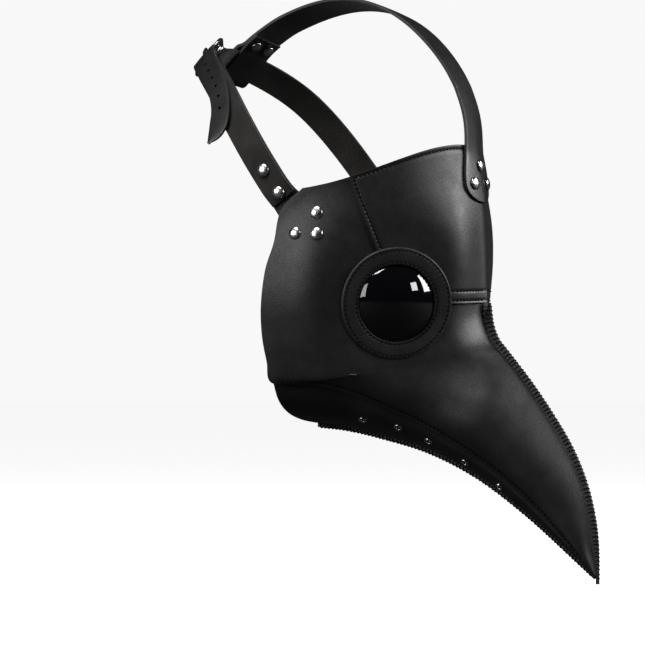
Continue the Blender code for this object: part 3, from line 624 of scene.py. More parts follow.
class Heap:
    """Many small closed tubes gathered into one mesh."""

    def __init__(self):
        self.verts, self.faces = [], []

    def tube(self, points, radii, sides=6):
        """A closed tube through the points, in metres."""
        first = len(self.verts)
        last = len(points) - 1
        side_way = None
        for i, point in enumerate(points):
            ahead = (points[min(i + 1, last)] - points[max(i - 1, 0)]).normalized()
            if side_way is None:
                side_way = ahead.orthogonal()
            side_way = (side_way - ahead * side_way.dot(ahead)).normalized()
            up_way = ahead.cross(side_way)
            for j in range(sides):
                angle = 2 * math.pi * j / sides
                away = side_way * math.cos(angle) + up_way * math.sin(angle)
                self.verts.append(point + away * radii[i])
        for i in range(last):
            for j in range(sides):
                k = (j + 1) % sides
                row, above = first + i * sides, first + (i + 1) * sides
                self.faces.append((row + j, row + k, above + k, above + j))
        self.faces.append(tuple(first + j for j in range(sides))[::-1])
        self.faces.append(tuple(first + last * sides + j for j in range(sides)))

    def stitch(self, start, end, normal):
        """One stitch lying in the leather: its ends go down into it."""
        heights = (-0.45, 0.12, 0.26, 0.12, -0.45)
        radii = (0.26, 0.44, 0.50, 0.44, 0.26)
        points = [
            start.lerp(end, i / 4) + normal * (height * MM) for i, height in enumerate(heights)
        ]
        self.tube(points, [radius * MM for radius in radii])

    def row(self, line):
        """Stitches along a line of (point, normal), in metres."""
        points = [point for point, _ in line]
        lengths = [0.0]
        for a, b in zip(points, points[1:]):
            lengths.append(lengths[-1] + (b - a).length)
        count = max(round(lengths[-1] / (STITCH_PITCH * MM)), 1)
        step = lengths[-1] / count
        for i in range(count):
            start, first_normal = walk(line, lengths, step * (i + 0.12))
            end, last_normal = walk(line, lengths, step * (i + 0.88))
            self.stitch(start, end, (first_normal + last_normal).normalized())

    def finish(self, name, paint, body, cad_node=None):
        mesh = bpy.data.meshes.new(name)
        mesh.from_pydata(self.verts, [], self.faces)
        mesh.shade_smooth()
        placed(new_object(name, mesh, (paint,)), body, cad_node)


def walk(line, lengths, distance):
    """(point, normal) at a distance along a line."""
    index = int(np.searchsorted(lengths, distance, "right")) - 1
    index = min(max(index, 0), len(line) - 2)
    share = (distance - lengths[index]) / max(lengths[index + 1] - lengths[index], 1e-9)
    point = line[index][0].lerp(line[index + 1][0], share)
    return point, line[index][1].lerp(line[index + 1][1], share)


# The panels.


def skin_ray(forward, up, row=2.0, across=0.2):
    """(row, across) of the outer surface where it is seen from the side at (forward, up)."""
    step = 0.01
    for _ in range(12):
        here = skin(row, across)
        down = (skin(row + step, across) - here) / step
        over = (skin(row, across + step) - here) / step
        slant = down.x * over.z - over.x * down.z
        du, dz = forward - here.x, up - here.z
        row += (du * over.z - over.x * dz) / slant
        across += (down.x * dz - du * down.z) / slant
    return row, across


def past_ring(place):
    return (skin(*place) - EYE).length > RING_RADIUS + 0.5


def lower_seam_line():
    """The stitches above the side panel's lower seam, one inset in from its edge all the way."""
    line = []
    place = (JAW_ROW, 0.02)
    for i in range(120):
        row = lerp(JAW_ROW + 0.2, LAST_ROW - 0.1, i / 119)
        seam = (skin(row + 0.02, 0.0) - skin(row - 0.02, 0.0)).normalized()
        inward = seam.cross(normal_of(skin, row, 0.0)).normalized()
        inset = SEAM_INSET * min(1.0, width_of(row) / 45)
        point = skin(row, 0.0) + inward * inset * (1 if inward.z > 0 else -1)
        found = skin_ray(point.x, point.z, *place)
        # A place that the search has lost is left out.
        if (skin(*found) - point).length < 1.5 and 0 < found[1] < 0.3 and abs(found[0] - row) < 1:
            place = found
            line.append(found)
    return line


def stitch_lines():
    """Each sewn row as its (row, across) places and the depth of the panel that it holds."""
    brow, side = (lambda row: 0.0), side_depth
    top = TOP_INSET / ROW_MM
    seam = []
    for i in range(80):
        row = lerp(top, EYE_ROW, i / 79)
        seam.append((row, seam_across(row) + SEAM_INSET / width_of(row)))
    lines = [([place for place in seam if past_ring(place)], brow)]
    lines.append(([(top, lerp(seam[0][1], 0.999, i / 60)) for i in range(61)], brow))
    for inset in LOW_INSETS:
        row = EYE_ROW - inset / ROW_MM
        line = [(row, lerp(EYE_ACROSS, 0.985, i / 80)) for i in range(81)]
        lines.append(([place for place in line if past_ring(place)], brow))
    lines.append((lower_seam_line(), side))
    return lines


def sewn_tree(wanted):
    """Close points along the sewn rows of one panel, for the channels that they pull in."""
    points = []
    for line, depth in STITCH_LINES:
        if (depth is side_depth) != wanted:
            continue
        ends = [skin(*place) for place in line]
        for a, b in zip(ends, ends[1:]):
            points += [a.lerp(b, i / 6) for i in range(6)]
    tree = kdtree.KDTree(len(points))
    for i, point in enumerate(points):
        tree.insert(point, i)
    tree.balance()
    return tree


STITCH_LINES = stitch_lines()
SIDE_SEWN, BROW_SEWN = sewn_tree(True), sewn_tree(False)


def channel(tree, row, across):
    return groove(tree.find(skin(row, across))[2])


def on_skin(row, across, side, depth=0.0):
    """(world point, world normal) on the worked leather."""
    normal = normal_of(skin, row, across)
    base = skin(row, across)
    point = base + normal * (wave(base, side) - depth)
    if across >= 1.0:
        point.y = 0.0
    return world(point, side), turned_way(side, normal)


def drawn_to_tip(rows, side, count):
    """More rows that close a panel from its last row down to the beak's tip."""
    tip = world(Vector(BEAK_TIP), side)
    last = rows[-1]
    for share in evenly(0.0, 1.0, count)[1:]:
        ease = 1 - (1 - share) ** 1.4
        rows.append([point.lerp(tip + (point - tip) * 0.12, ease) for point in last])
    return rows


def clear_of_eye(rows, side):
    """Says which cells of a grid lie outside the hole for the lens."""
    centre, axis = world(EYE, side), turned_way(side, EYE_NORMAL)

    def keep(i, j):
        middle = (rows[i][j] + rows[i + 1][j + 1]) / 2 - centre
        height = middle.dot(axis)
        return abs(height) > 0.012 or (middle - axis * height).length > EYE_HOLE * MM
    return keep


def side_columns(row, width):
    """Shares across the side panel: closer together at the stitched lower edge."""
    squeeze = min(1.0, width / 60)
    last = across_where_out(skin, row, 1.3)
    edge = [0.0, 0.4, 1.1, 1.8, 2.4, 3.0, 3.6, 4.2, 5.2]
    shares = [place * squeeze / width for place in edge]
    seam = seam_across(row) + 9.0 / max(width, 60.0)
    shares += [lerp(shares[-1], seam, j / OUTER_CELLS) for j in range(1, OUTER_CELLS + 1)]
    shares += [lerp(seam, last, j / INNER_CELLS) for j in range(1, INNER_CELLS + 1)]
    return shares


def side_panel(side_name, side):
    lap_row = EYE_ROW - 0.4
    places = refined(0, LAST_ROW, 0.11, [lap_row], 0.04)
    rows = []
    for row in places:
        width = width_of(row)
        line = []
        for share in side_columns(row, width):
            line.append(on_skin(row, share, side, side_depth(row) + channel(SIDE_SEWN, row, share))[0])
        rows.append(line)
    under = min(range(len(places)), key=lambda i: abs(places[i] - lap_row))
    edge_cells = OUTER_CELLS + 8
    rows = drawn_to_tip(rows, side, 6)
    outside_lens = clear_of_eye(rows, side)

    def keep(i, j):
        return (i >= under or j < edge_cells) and outside_lens(i, j)
    panel("side_panel_" + side_name, rows, keep=keep, flip=side > 0)


def brow_panel():
    unit = 1 / ROW_MM
    lines = [TOP_INSET * unit] + [EYE_ROW - inset * unit for inset in LOW_INSETS]
    rows = []
    for row in refined(0, EYE_ROW, 0.085, lines, unit):
        width = width_of(row)
        seam = seam_across(row)
        inset = SEAM_INSET / width
        shares = refined(seam, 1.0, 2.2 / width, [seam + inset], 1 / width)
        rows.append((row, shares))
    count = min(len(shares) for _, shares in rows)
    points = []
    for row, shares in rows:
        shares = shares[:9] + [lerp(shares[8], 1.0, j / (count - 9)) for j in range(1, count - 8)]
        halves = []
        for side in (RIGHT, LEFT):
            line = []
            for share in shares:
                line.append(on_skin(row, share, side, channel(BROW_SEWN, row, share))[0])
            halves.append(line)
        points.append(halves[0] + halves[1][-2::-1])
    keeps = [clear_of_eye(points, side) for side in (RIGHT, LEFT)]
    panel("brow_panel", points, keep=lambda i, j: keeps[0](i, j) and keeps[1](i, j))


def gusset(side_name, side):
    """The underside strip: its outer edge turns up behind the side panel and is sewn there."""
    rows = []
    for row in refined(JAW_ROW, LAST_ROW, 0.11, [], 0.04):
        edge = spline(EDGE, row)
        across_mm = max(edge.y, 1.0)
        tuck = LEATHER + TUCK_GAP
        width = width_of(row)
        line = []
        for inset in (5.0, 3.0, 1.4):
            share = inset * min(1.0, width / 60) / width
            line.append(on_skin(row, share, side, tuck)[0])
        last = 1 - min(1.3 / across_mm, 0.4)
        corner = normal_of(skin, row, 0.0)
        for j in range(15):
            share = lerp(0.02, last, j / 14)
            down = normal_of(underside, row, share) * -1
            turn = smooth(0.0, 0.22, share)
            way = corner.lerp(down, 0.5 + 0.5 * turn).normalized()
            base = underside(row, share)
            sunk = base - way * (tuck * (1 - turn)) + down * wave(base, side) * 0.6 * turn
            line.append(world(sunk, side))
        rows.append(line)
    rows = drawn_to_tip(rows, side, 6)
    eyelets = [turned_frame(f"eyelet_{side_name}_{i}") for i in range(1, 6)]
    holes = [(place, axis, EYELET_HOLE_RADIUS, 14) for place, axis in eyelets]
    cutters = [hole_cutter(holes)]
    panel("underside_gusset_" + side_name, rows, flip=side < 0, cutters=cutters, edge=0.35)


def panel_stitches():
    """The sewn rows of the panels, each a run of separate stitches."""
    for side_name, side in SIDES.items():
        heap = Heap()
        for line, depth in STITCH_LINES:
            heap.row([on_skin(*place, side, depth(place[0]) + 0.26) for place in line])
        heap.finish("panel_stitching_" + side_name, THREAD, "mask")


# The seam fins.


def fin_line(outline, way, count):
    """(outer point, inward direction, share of the way) along a fin, in (forward, up)."""
    outer = [Vector(point) for point in outline]
    last = len(outer) - 1
    points = [spline(outer, last * i / count) for i in range(count + 1)]
    line = []
    for i, point in enumerate(points):
        ahead = points[min(i + 1, count)] - points[max(i - 1, 0)]
        inward = Vector((ahead.y, -ahead.x)).normalized() * way
        line.append((point, inward, i / count))
    return line


def fin_point(point, inward, out, depth):
    flat = point + inward * depth
    return Vector((out, -flat.x, flat.y)) * MM


def fin_width(share):
    """How much of its full size the fin keeps: it tapers to the beak's tip."""
    return 1 - FIN_TAPER * smooth(0.86, 1.0, share)


# Half of the fin's section, (out, depth below its outer line): two edges laid together.
FIN_HALF_SECTION = (
    (0.0, 0.42), (0.18, 0.20), (0.52, 0.04), (0.90, 0.10), (1.20, 0.42), (1.33, 0.95),
    (1.38, 1.8), (1.36, 2.8), (1.40, 3.8), (1.62, 4.8), (1.95, 5.8),
)


def fin(name, outline, way):
    """A raised seam: the edges of both panels turned out, pressed together and whip-stitched."""
    count = 150
    section = [(-out, depth) for out, depth in FIN_HALF_SECTION[:0:-1]]
    section += FIN_HALF_SECTION
    rows = []
    for point, inward, share in fin_line(outline, way, count):
        slim = fin_width(share)
        pucker = 1 + 0.05 * math.sin(share * count * 1.7)
        rows.append([fin_point(point, inward, out * slim * pucker, depth * slim) for out, depth in section])
    work = bmesh.new()
    work.from_mesh(grid_mesh(name, rows, flip=way > 0))
    bmesh.ops.holes_fill(work, edges=work.edges, sides=0)
    made = new_object(name + "_leather", facing_out(work, name), (CUT_EDGE,))
    placed(made, "mask", name)
    whip_stitches(name, outline, way)


def whip_stitches(name, outline, way):
    """Thread that goes over the fin's edge and through both leathers, once each pitch."""
    line = fin_line(outline, way, 400)
    heap = Heap()
    travelled, wanted = 0.0, WHIP_PITCH
    for (point, inward, share), (after, _, _) in zip(line, line[1:]):
        travelled += (after - point).length
        if travelled < wanted or share > 0.985:
            continue
        wanted += WHIP_PITCH
        slim = fin_width(share)
        ahead = (after - point).normalized() * 0.5
        path = (
            (-1.2, 3.6), (-1.62, 3.0), (-1.68, 1.6), (-1.45, 0.45), (-0.8, -0.12), (0.0, -0.22),
            (0.8, -0.12), (1.45, 0.45), (1.68, 1.6), (1.62, 3.0), (1.2, 3.6),
        )
        points = [
            fin_point(point + ahead * (out / 1.6), inward, out * slim, depth * slim)
            for out, depth in path
        ]
        heap.tube(points, [THREAD_RADIUS * MM] * len(points))
    heap.finish(name + "_stitching", THREAD, "mask")


# The eyes.


def eye_axes(side):
    """(centre, forward way, upward way, outward) of the flat round the eye, in world axes."""
    forward = Vector((1.0, 0.0, 0.0))
    forward = (forward - EYE_NORMAL * forward.dot(EYE_NORMAL)).normalized()
    upward = Vector((0.0, 0.0, 1.0))
    upward = (upward - EYE_NORMAL * upward.dot(EYE_NORMAL)).normalized()
    forward = (forward - upward * forward.dot(upward)).normalized()
    ways = [turned_way(side, way) for way in (forward, upward, EYE_NORMAL)]
    return world(EYE, side), *ways, forward, upward


def lap_height():
    """The level of the leather under the ring at (forward, up) from the eye's centre."""
    *_, forward, upward = eye_axes(RIGHT)
    seam = []
    for i in range(25):
        row = lerp(EYE_ROW - 2.4, EYE_ROW, i / 24)
        away = skin(row, seam_across(row)) - EYE
        seam.append((away.dot(upward), away.dot(forward)))
    ups, forwards = zip(*sorted(seam))

    def level(along, up):
        row = EYE_ROW - up / ROW_MM
        past_seam = smooth(-RING_EASE, RING_EASE, along - float(np.interp(up, ups, forwards)))
        past_edge = smooth(-RING_EASE, RING_EASE, up)
        return -0.75 * side_depth(row) * (1 - past_seam * past_edge)
    return level


LEVEL = lap_height()
# The ring's section: (radius, height above the leather that it lies on).
RING_SECTION = (
    (25.5, -2.4), (25.45, 0.6), (25.55, 1.15), (25.85, 1.5), (26.3, 1.68), (26.75, 1.62),
    (27.2, 1.42), (27.65, 1.62), (28.2, 1.74), (30.0, 1.80), (32.2, 1.80), (34.0, 1.74),
    (34.6, 1.62), (35.1, 1.40), (35.6, 1.62), (36.1, 1.60), (36.55, 1.45), (36.85, 1.1),
    (37.0, 0.6), (36.95, -1.3), (34.0, -1.3), (28.0, -1.3),
)


def eye_point(axes, radius, angle, height):
    centre, forward, upward, outward = axes[:4]
    flat = forward * math.cos(angle) + upward * math.sin(angle)
    return centre + (flat * radius + outward * height) * MM


def eye_ring(side_name, side):
    axes = eye_axes(side)
    steps = 180
    rows = []
    for i in range(steps + 1):
        angle = 2 * math.pi * i / steps
        line = []
        for radius, height in RING_SECTION + RING_SECTION[:1]:
            level = LEVEL(radius * math.cos(angle), radius * math.sin(angle))
            ripple = 0.05 * math.sin(angle * 73) * math.exp(-(((radius - OUTER_STITCH) / 1.2) ** 2))
            line.append(eye_point(axes, radius, angle, level + height + ripple))
        rows.append(line)
    name = "eye_ring_" + side_name
    work = bmesh.new()
    work.from_mesh(grid_mesh(name, rows, flip=side < 0))
    bmesh.ops.remove_doubles(work, verts=work.verts, dist=1e-6)
    mesh = facing_out(work, name)
    made = new_object(name + "_leather", mesh, (RING_HIDE, CUT_EDGE))
    centre, outward = axes[0], axes[3]
    for face in mesh.polygons:
        away = face.center - centre
        radius = (away - outward * away.dot(outward)).length / MM
        face.material_index = 1 if radius < 25.9 or radius > 36.6 else 0
    placed(made, "mask", name)
    heap = Heap()
    for radius in (OUTER_STITCH, INNER_STITCH):
        line = []
        for i in range(181):
            angle = 2 * math.pi * i / 180
            level = LEVEL(radius * math.cos(angle), radius * math.sin(angle))
            line.append((eye_point(axes, radius, angle, level + 1.48), outward))
        heap.row(line)
    heap.finish(name + "_stitching", THREAD, "mask")


def facing_out(work, name):
    """The smooth-shaded mesh of a bmesh with all its faces turned outward."""
    bmesh.ops.recalc_face_normals(work, faces=work.faces)
    mesh = mesh_from(work, name)
    mesh.shade_smooth()
    return mesh


def turned_frame(cad_node):
    """(centre, axis) of a turned CAD piece at its widest ring; the axis points out past that ring."""
    points = np.array([vert.co for vert in frame["nodes"][cad_node].data.vertices])
    points = np.unique(np.round(points, 6), axis=0)
    middle = points.mean(0)
    values, ways = np.linalg.eigh(np.cov((points - middle).T))
    gaps = (abs(values[0] - values[1]), abs(values[1] - values[2]))
    axis = ways[:, 2] if gaps[0] < gaps[1] else ways[:, 0]
    heights = (points - middle) @ axis
    radii = np.linalg.norm((points - middle) - np.outer(heights, axis), axis=1)
    widest = heights[radii > radii.max() * 0.98].mean()
    way = 1 if widest > 0 else -1
    return Vector(middle + axis * widest), Vector(axis * way)


def turned(cad_node, ending, profile, centre, axis, paint, steps):
    """A turned piece: the closed (radius, height) profile goes round the axis."""
    work = bmesh.new()
    turn = Vector((0, 0, 1)).rotation_difference(axis).to_matrix()
    rings = []
    for i in range(steps):
        angle = 2 * math.pi * i / steps
        way = Vector((math.cos(angle), math.sin(angle), 0.0))
        ring = []
        for radius, height in profile:
            local = way * radius + Vector((0.0, 0.0, height))
            ring.append(work.verts.new(centre + turn @ (local * MM)))
        rings.append(ring)
    count = len(profile)
    closed = profile[0][0] > 0
    for i in range(steps):
        this, after = rings[i], rings[(i + 1) % steps]
        for j in range(count if closed else count - 1):
            k = (j + 1) % count
            work.faces.new((this[j], this[k], after[k], after[j]))
    bmesh.ops.remove_doubles(work, verts=work.verts, dist=1e-7)
    bmesh.ops.dissolve_degenerate(work, edges=work.edges, dist=1e-8)
    name = cad_node + ending
    made = new_object(name, facing_out(work, name), (paint,))
    placed(made, body_of(cad_node), cad_node)


def dome(radius, lean, top):
    """(radius, height) points of a round dome from its top down to its edge."""
    angles = [lean * i / 18 for i in range(19)]
    return [(radius * math.sin(a), top + radius * (math.cos(a) - 1)) for a in angles]


def lens(side_name, side):
    """A domed lens with a rolled rim; its flange lies behind the leather."""
    back = -(2 * LEATHER + 2 * GAP)
    ball = (LENS_RADIUS**2 + LENS_RISE**2) / (2 * LENS_RISE)
    lean = math.asin(LENS_RADIUS / ball)
    rim, flange = LENS_RADIUS + LENS_RIM, LENS_RADIUS + LENS_FLANGE
    profile = dome(ball, lean, LENS_RISE)
    profile += [
        (rim, -0.5), (rim, back - GAP), (flange - 0.2, back - GAP), (flange, back - GAP - 0.2),
        (flange, back - LENS_WALL + 0.2), (flange - 0.2, back - LENS_WALL),
        (LENS_RADIUS - LENS_WALL, back - LENS_WALL),
    ]
    profile += dome(ball - LENS_WALL, lean, LENS_RISE - LENS_WALL)[::-1]
    turned("lens_" + side_name, "_dome", profile, world(EYE, side), turned_way(side, EYE_NORMAL),
           LENS_BLACK, 96)


# The harness. Its points are in world axes, still in millimetres.


def head_slopes(point):
    """How the head's ellipsoid function grows along X, Y and Z at a point, and its size there."""
    away = point - HEAD_CENTRE
    back = away.y + HEAD_LEAN * away.z
    slopes = [away.x / HEAD_HALF[0] ** 2, back / HEAD_HALF[1] ** 2, away.z / HEAD_HALF[2] ** 2]
    size = away.x * slopes[0] + back * slopes[1] + away.z * slopes[2]
    slopes[2] += HEAD_LEAN * slopes[1]
    return Vector(slopes), size


def head_normal(point):
    return head_slopes(point)[0].normalized()


def to_head(point, lift=0.0):
    """The point moved onto the head along the line from the head's centre, then lifted off it."""
    on_head = HEAD_CENTRE + (point - HEAD_CENTRE) / math.sqrt(head_slopes(point)[1])
    return on_head + head_normal(on_head) * lift


def route_point(side, place, lift):
    """A point of the rear strap's middle line, lift above its inner face."""
    line = [Vector((side * out, -forward, up)) for forward, out, up in STRAP_ROUTE]
    raw = spline(line, place)
    free = to_head(raw, lift)
    if place >= ROOT_END:
        return free
    row, across = skin_ray(-raw.y, raw.z)
    normal = normal_of(skin, row, across)
    depth = side_depth(row) + LEATHER + ROOT_GAP + STRAP
    inside = world(skin(row, across) - normal * (depth - lift), side) / MM
    return inside.lerp(free, smooth(2.2, ROOT_END, place))


def strap_normal(side, place):
    """The strap's outward direction: the panel's at its root, and the head's beyond it."""
    point = route_point(side, place, STRAP / 2)
    free = head_normal(point)
    if place >= ROOT_END:
        return free
    row, across = skin_ray(-point.y, point.z)
    under = turned_way(side, normal_of(skin, row, across))
    return under.lerp(free, smooth(2.2, ROOT_END, place)).normalized()


def relaxed(points, passes):
    """The points drawn towards their neighbours' middle, so that joined curves run on evenly."""
    for _ in range(passes):
        inner = [a * 0.25 + b * 0.5 + c * 0.25 for a, b, c in zip(points, points[1:], points[2:])]
        points = [points[0]] + inner + [points[-1]]
    return points


def ribbon_rows(centres, normals, halves, columns=12):
    """Rows of points across a strap, in metres; the middle stands a little proud."""
    rows = []
    last = len(centres) - 1
    for i, centre in enumerate(centres):
        ahead = (centres[min(i + 1, last)] - centres[max(i - 1, 0)]).normalized()
        across = normals[i].cross(ahead).normalized()
        shares = [2 * j / columns - 1 for j in range(columns + 1)]
        rows.append([
            (centre + across * (share * halves[i]) - normals[i] * (0.35 * share * share)) * MM
            for share in shares
        ])
    return rows


def evenly(first, last, count):
    return [lerp(first, last, i / count) for i in range(count + 1)]


def strap_half(place):
    return lerp(ROOT_HALF, STRAP_HALF, smooth(0.6, 3.0, place))


def buckle_axes():
    """(bar centre, direction towards the left strap, direction along the bar, outward)."""
    low, high = (route_point(RIGHT, BUCKLE_AT + step, 0.0) for step in (-0.02, 0.02))
    onward = (high - low).normalized()
    base = to_head(route_point(RIGHT, BUCKLE_AT, 0.0))
    outward = head_normal(base)
    along = outward.cross(onward).normalized()
    onward = along.cross(outward).normalized()
    tilt = Matrix.Rotation(math.radians(BUCKLE_TILT), 3, along)
    fold = BAR_RADIUS + GAP + STRAP / 2
    return base + outward * (STRAP / 2 + fold), tilt @ onward, along, tilt @ outward


def right_strap():
    """One strap, folded back over the buckle's bar, with its end riveted down outside."""
    bar, onward, along, outward = buckle_axes()
    fold = BAR_RADIUS + GAP + STRAP / 2
    places = evenly(0.0, BUCKLE_AT - 0.15, 84)
    centres = [route_point(RIGHT, place, STRAP / 2) for place in places]
    normals = [strap_normal(RIGHT, place) for place in places]
    halves = [strap_half(place) for place in places]
    for angle in evenly(-math.pi / 2, math.pi / 2, 16):
        way = onward * math.cos(angle) + outward * math.sin(angle)
        centres.append(bar + way * fold)
        normals.append(way * -1)
        halves.append(STRAP_HALF)
    for place in evenly(BUCKLE_AT - 0.25, RETURN_END, 56):
        lift = 1.5 * STRAP + GAP + 3.3 * smooth(BUCKLE_AT - 1.3, BUCKLE_AT, place)
        centre = route_point(RIGHT, place, lift)
        centres.append(centre)
        normals.append(head_normal(centre) * -1)
        halves.append(STRAP_HALF)
    centres = relaxed(centres, 2)
    prong_slot = slot_cutter(bar + onward * 0.2, onward, along, outward, PRONG_SLOT)
    strap("right_strap", ribbon_rows(centres, normals, halves), [prong_slot])


def tail_path():
    """(centre, normal, half width) along the left strap from its root to its pointed tip."""
    places = evenly(0.0, 9.8, 96)
    centres = [route_point(LEFT, place, STRAP / 2) for place in places]
    normals = [strap_normal(LEFT, place) for place in places]
    crossing = evenly(9.95, BUCKLE_AT + 1.15, 16)
    centres += [route_point(RIGHT, place, STRAP / 2) for place in crossing]
    halves = [strap_half(place) for place in places] + [STRAP_HALF] * len(crossing)
    line = [to_head(Vector((-out, -forward, up)), lift) for forward, out, up, lift in TAIL_ROUTE]
    last = len(line) - 1
    for place in evenly(0.0, last, 60):
        centres.append(spline(line, place))
        point = max(place - (last - TAIL_POINT), 0.0) / TAIL_POINT
        half = STRAP_HALF - TAIL_NARROWING * smooth(0.5, 3.0, place)
        halves.append(max(half * (1 - point**2.2), TAIL_TIP_HALF))
    centres = relaxed(centres, 6)
    normals += [head_normal(centre) for centre in centres[len(normals):]]
    return centres, normals, halves


def punched_holes(centres):
    """Round holes for the prong along the free end, one pitch apart, the first under the prong."""
    bar, onward, _, _ = buckle_axes()
    start = min(range(len(centres)), key=lambda i: (centres[i] - bar - onward * 8).length)
    holes, travelled, wanted = [], 0.0, 0.0
    for before, after in zip(centres[start:-2], centres[start + 1:]):
        step = (after - before).length
        if travelled + step >= wanted and len(holes) < HOLE_COUNT:
            point = before.lerp(after, (wanted - travelled) / step)
            radius = HOLE_RADIUS if holes else PRONG_HOLE_RADIUS
            holes.append((point * MM, head_normal(point), radius, 7))
            wanted += HOLE_PITCH
        travelled += step
    return holes


def left_strap():
    """The holed strap: over the back of the head, through the buckle, and free beyond it."""
    centres, normals, halves = tail_path()
    holes = hole_cutter(punched_holes(centres))
    strap("left_strap", ribbon_rows(centres, normals, halves), [holes])


def brow_row(row, half, height, columns):
    """Points across the crown strap's end, height above the brow panel, in metres."""
    points = []
    for j in range(columns, -1, -1):
        out = (2 * j / columns - 1) * half
        across = across_where_out(skin, row, abs(out)) if abs(out) > 0.05 else 1.0
        normal = normal_of(skin, row, min(across, 0.999))
        if across == 1.0:
            normal.y = 0.0
        base = skin(row, across)
        side = RIGHT if out < 0 else LEFT
        points.append(world(base + normal * (height + max(wave(base, side), 0.0)), side))
    return points


def crown_rows(columns=12):
    rows = []
    for share in evenly(0.004, 1.0, 30):
        round_end = math.sqrt(1 - (1 - min(share / 0.3, 1.0)) ** 2)
        widen = round_end * (1 - 0.26 * smooth(0.35, 1.0, share))
        row = lerp(CROWN_END_ROW, 0.0, share)
        rows.append(brow_row(row, CROWN_END_HALF * widen, STRAP / 2, columns))
    centres = []
    for share in evenly(0.0, 1.0, 60):
        angle = math.radians(lerp(20, 110, share))
        drift = CROWN_DRIFT * smooth(0.3, 0.95, share)
        way = HEAD_CENTRE + Vector((0, -math.cos(angle), math.sin(angle))) * 120
        centres.append(to_head(to_head(way) + Vector((drift, 0, 0)), STRAP / 2 + 0.4))
    normals = [head_normal(centre) for centre in centres]
    loop_centres, loop_normals = crown_loop()
    centres = relaxed(centres + loop_centres, 2)
    normals += loop_normals
    rows += ribbon_rows(centres, normals, [CROWN_HALF] * len(centres), columns)
    return eased(rows, 26, 40)


def eased(rows, first, last):
    """The rows from first to last drawn into one even curve, column by column."""
    for _ in range(14):
        for i in range(first, last):
            rows[i] = [
                a * 0.25 + b * 0.5 + c * 0.25
                for a, b, c in zip(rows[i - 1], rows[i], rows[i + 1])
            ]
    return rows


def loop_axes():
    """(middle of the rear strap under the crown strap, outward, down the head across it)."""
    rear = route_point(LEFT, CROWN_LOOP_AT, 0.0)
    ahead = route_point(LEFT, CROWN_LOOP_AT + 0.1, 0.0) - rear
    normal = head_normal(rear)
    down = ahead.cross(normal).normalized()
    return rear, normal, down if down.z < 0 else -down


def loop_point(up, lift):
    rear, normal, down = loop_axes()
    if abs(up) > STRAP_HALF:
        return to_head(rear - down * up, lift)
    return rear - down * up + normal * lift


def crown_loop():
    """Turns the crown strap's rear end round the rear strap and brings it back up inside."""
    rear, normal, down = loop_axes()
    outside = [loop_point(up, lift) for up, lift in LOOP_OUTSIDE]
    outside = [spline(outside, place) for place in evenly(0, len(outside) - 1, 20)]
    normals = [head_normal(point).lerp(normal, smooth(0, 14, i)) for i, point in enumerate(outside)]
    outer, inner = LOOP_OUTSIDE[-1][1], LOOP_INSIDE[0][1]
    turn = rear + normal * (outer + inner) / 2 + down * (STRAP_HALF + 2.0)
    for angle in evenly(math.pi / 2, -math.pi / 2, 12):
        way = normal * math.sin(angle) + down * math.cos(angle)
        outside.append(turn + way * (outer - inner) / 2)
        normals.append(way)
    back = [loop_point(up, lift) for up, lift in LOOP_INSIDE]
    back = [spline(back, place) for place in evenly(0, len(back) - 1, 20)]
    normals += [
        normal.lerp(head_normal(point), smooth(4, 18, i)) * -1 for i, point in enumerate(back)
    ]
    return outside + back, normals


def crown_strap():
    strap("crown_strap", crown_rows())


# Metal.


def body_of(cad_node):
    for body, members in frame["record"]["behaviour"]["bodies"].items():
        if cad_node in members:
            return body


def rivet(cad_node):
    """A domed cap, a shank through the leather and a flat back."""
    centre, axis = turned_frame(cad_node)
    back = 1.0 + lowest(cad_node, centre, axis)
    if "root" in cad_node:
        side = RIGHT if centre.x < 0 else LEFT
        row, across = skin_ray(-centre.y / MM, centre.z / MM)
        centre, axis = on_skin(row, across, side, side_depth(row) - GAP)
    profile = [
        (0.0, 1.60), (1.2, 1.53), (2.2, 1.36), (3.0, 1.12), (3.6, 0.84), (4.0, 0.55),
        (4.25, 0.2), (4.3, -0.1), (4.2, -0.35), (1.5, -0.35), (1.5, back), (3.5, back),
        (3.6, back - 0.2), (3.5, back - 0.6), (3.0, back - 0.9), (0.0, back - 1.0),
    ]
    turned(cad_node, "_turned", profile, centre, axis, NICKEL, 40)


def eyelet(cad_node):
    """A rolled rim, a barrel through the leather and its spread back."""
    centre, axis = turned_frame(cad_node)
    back = lowest(cad_node, centre, axis)
    profile = [
        (1.5, -0.4), (1.52, 0.1), (1.75, 0.45), (2.2, 0.6), (2.65, 0.5), (3.0, 0.2),
        (3.1, -0.15), (3.0, -0.4), (2.1, -0.4), (2.1, back + 0.5), (3.0, back + 0.5),
        (3.0, back), (1.5, back),
    ]
    turned(cad_node, "_turned", profile, centre, axis, NICKEL, 40)


def rivets_and_eyelets():
    """One for each in the frame, where the frame has it."""
    for cad_node in sorted(frame["nodes"]):
        if "rivet" in cad_node:
            rivet(cad_node)
        elif "eyelet" in cad_node:
            eyelet(cad_node)


def lowest(cad_node, centre, axis):
    """How far below the centre a turned piece reaches along its axis, in millimetres."""
    return min((vert.co - centre).dot(axis) for vert in frame["nodes"][cad_node].data.vertices) / MM


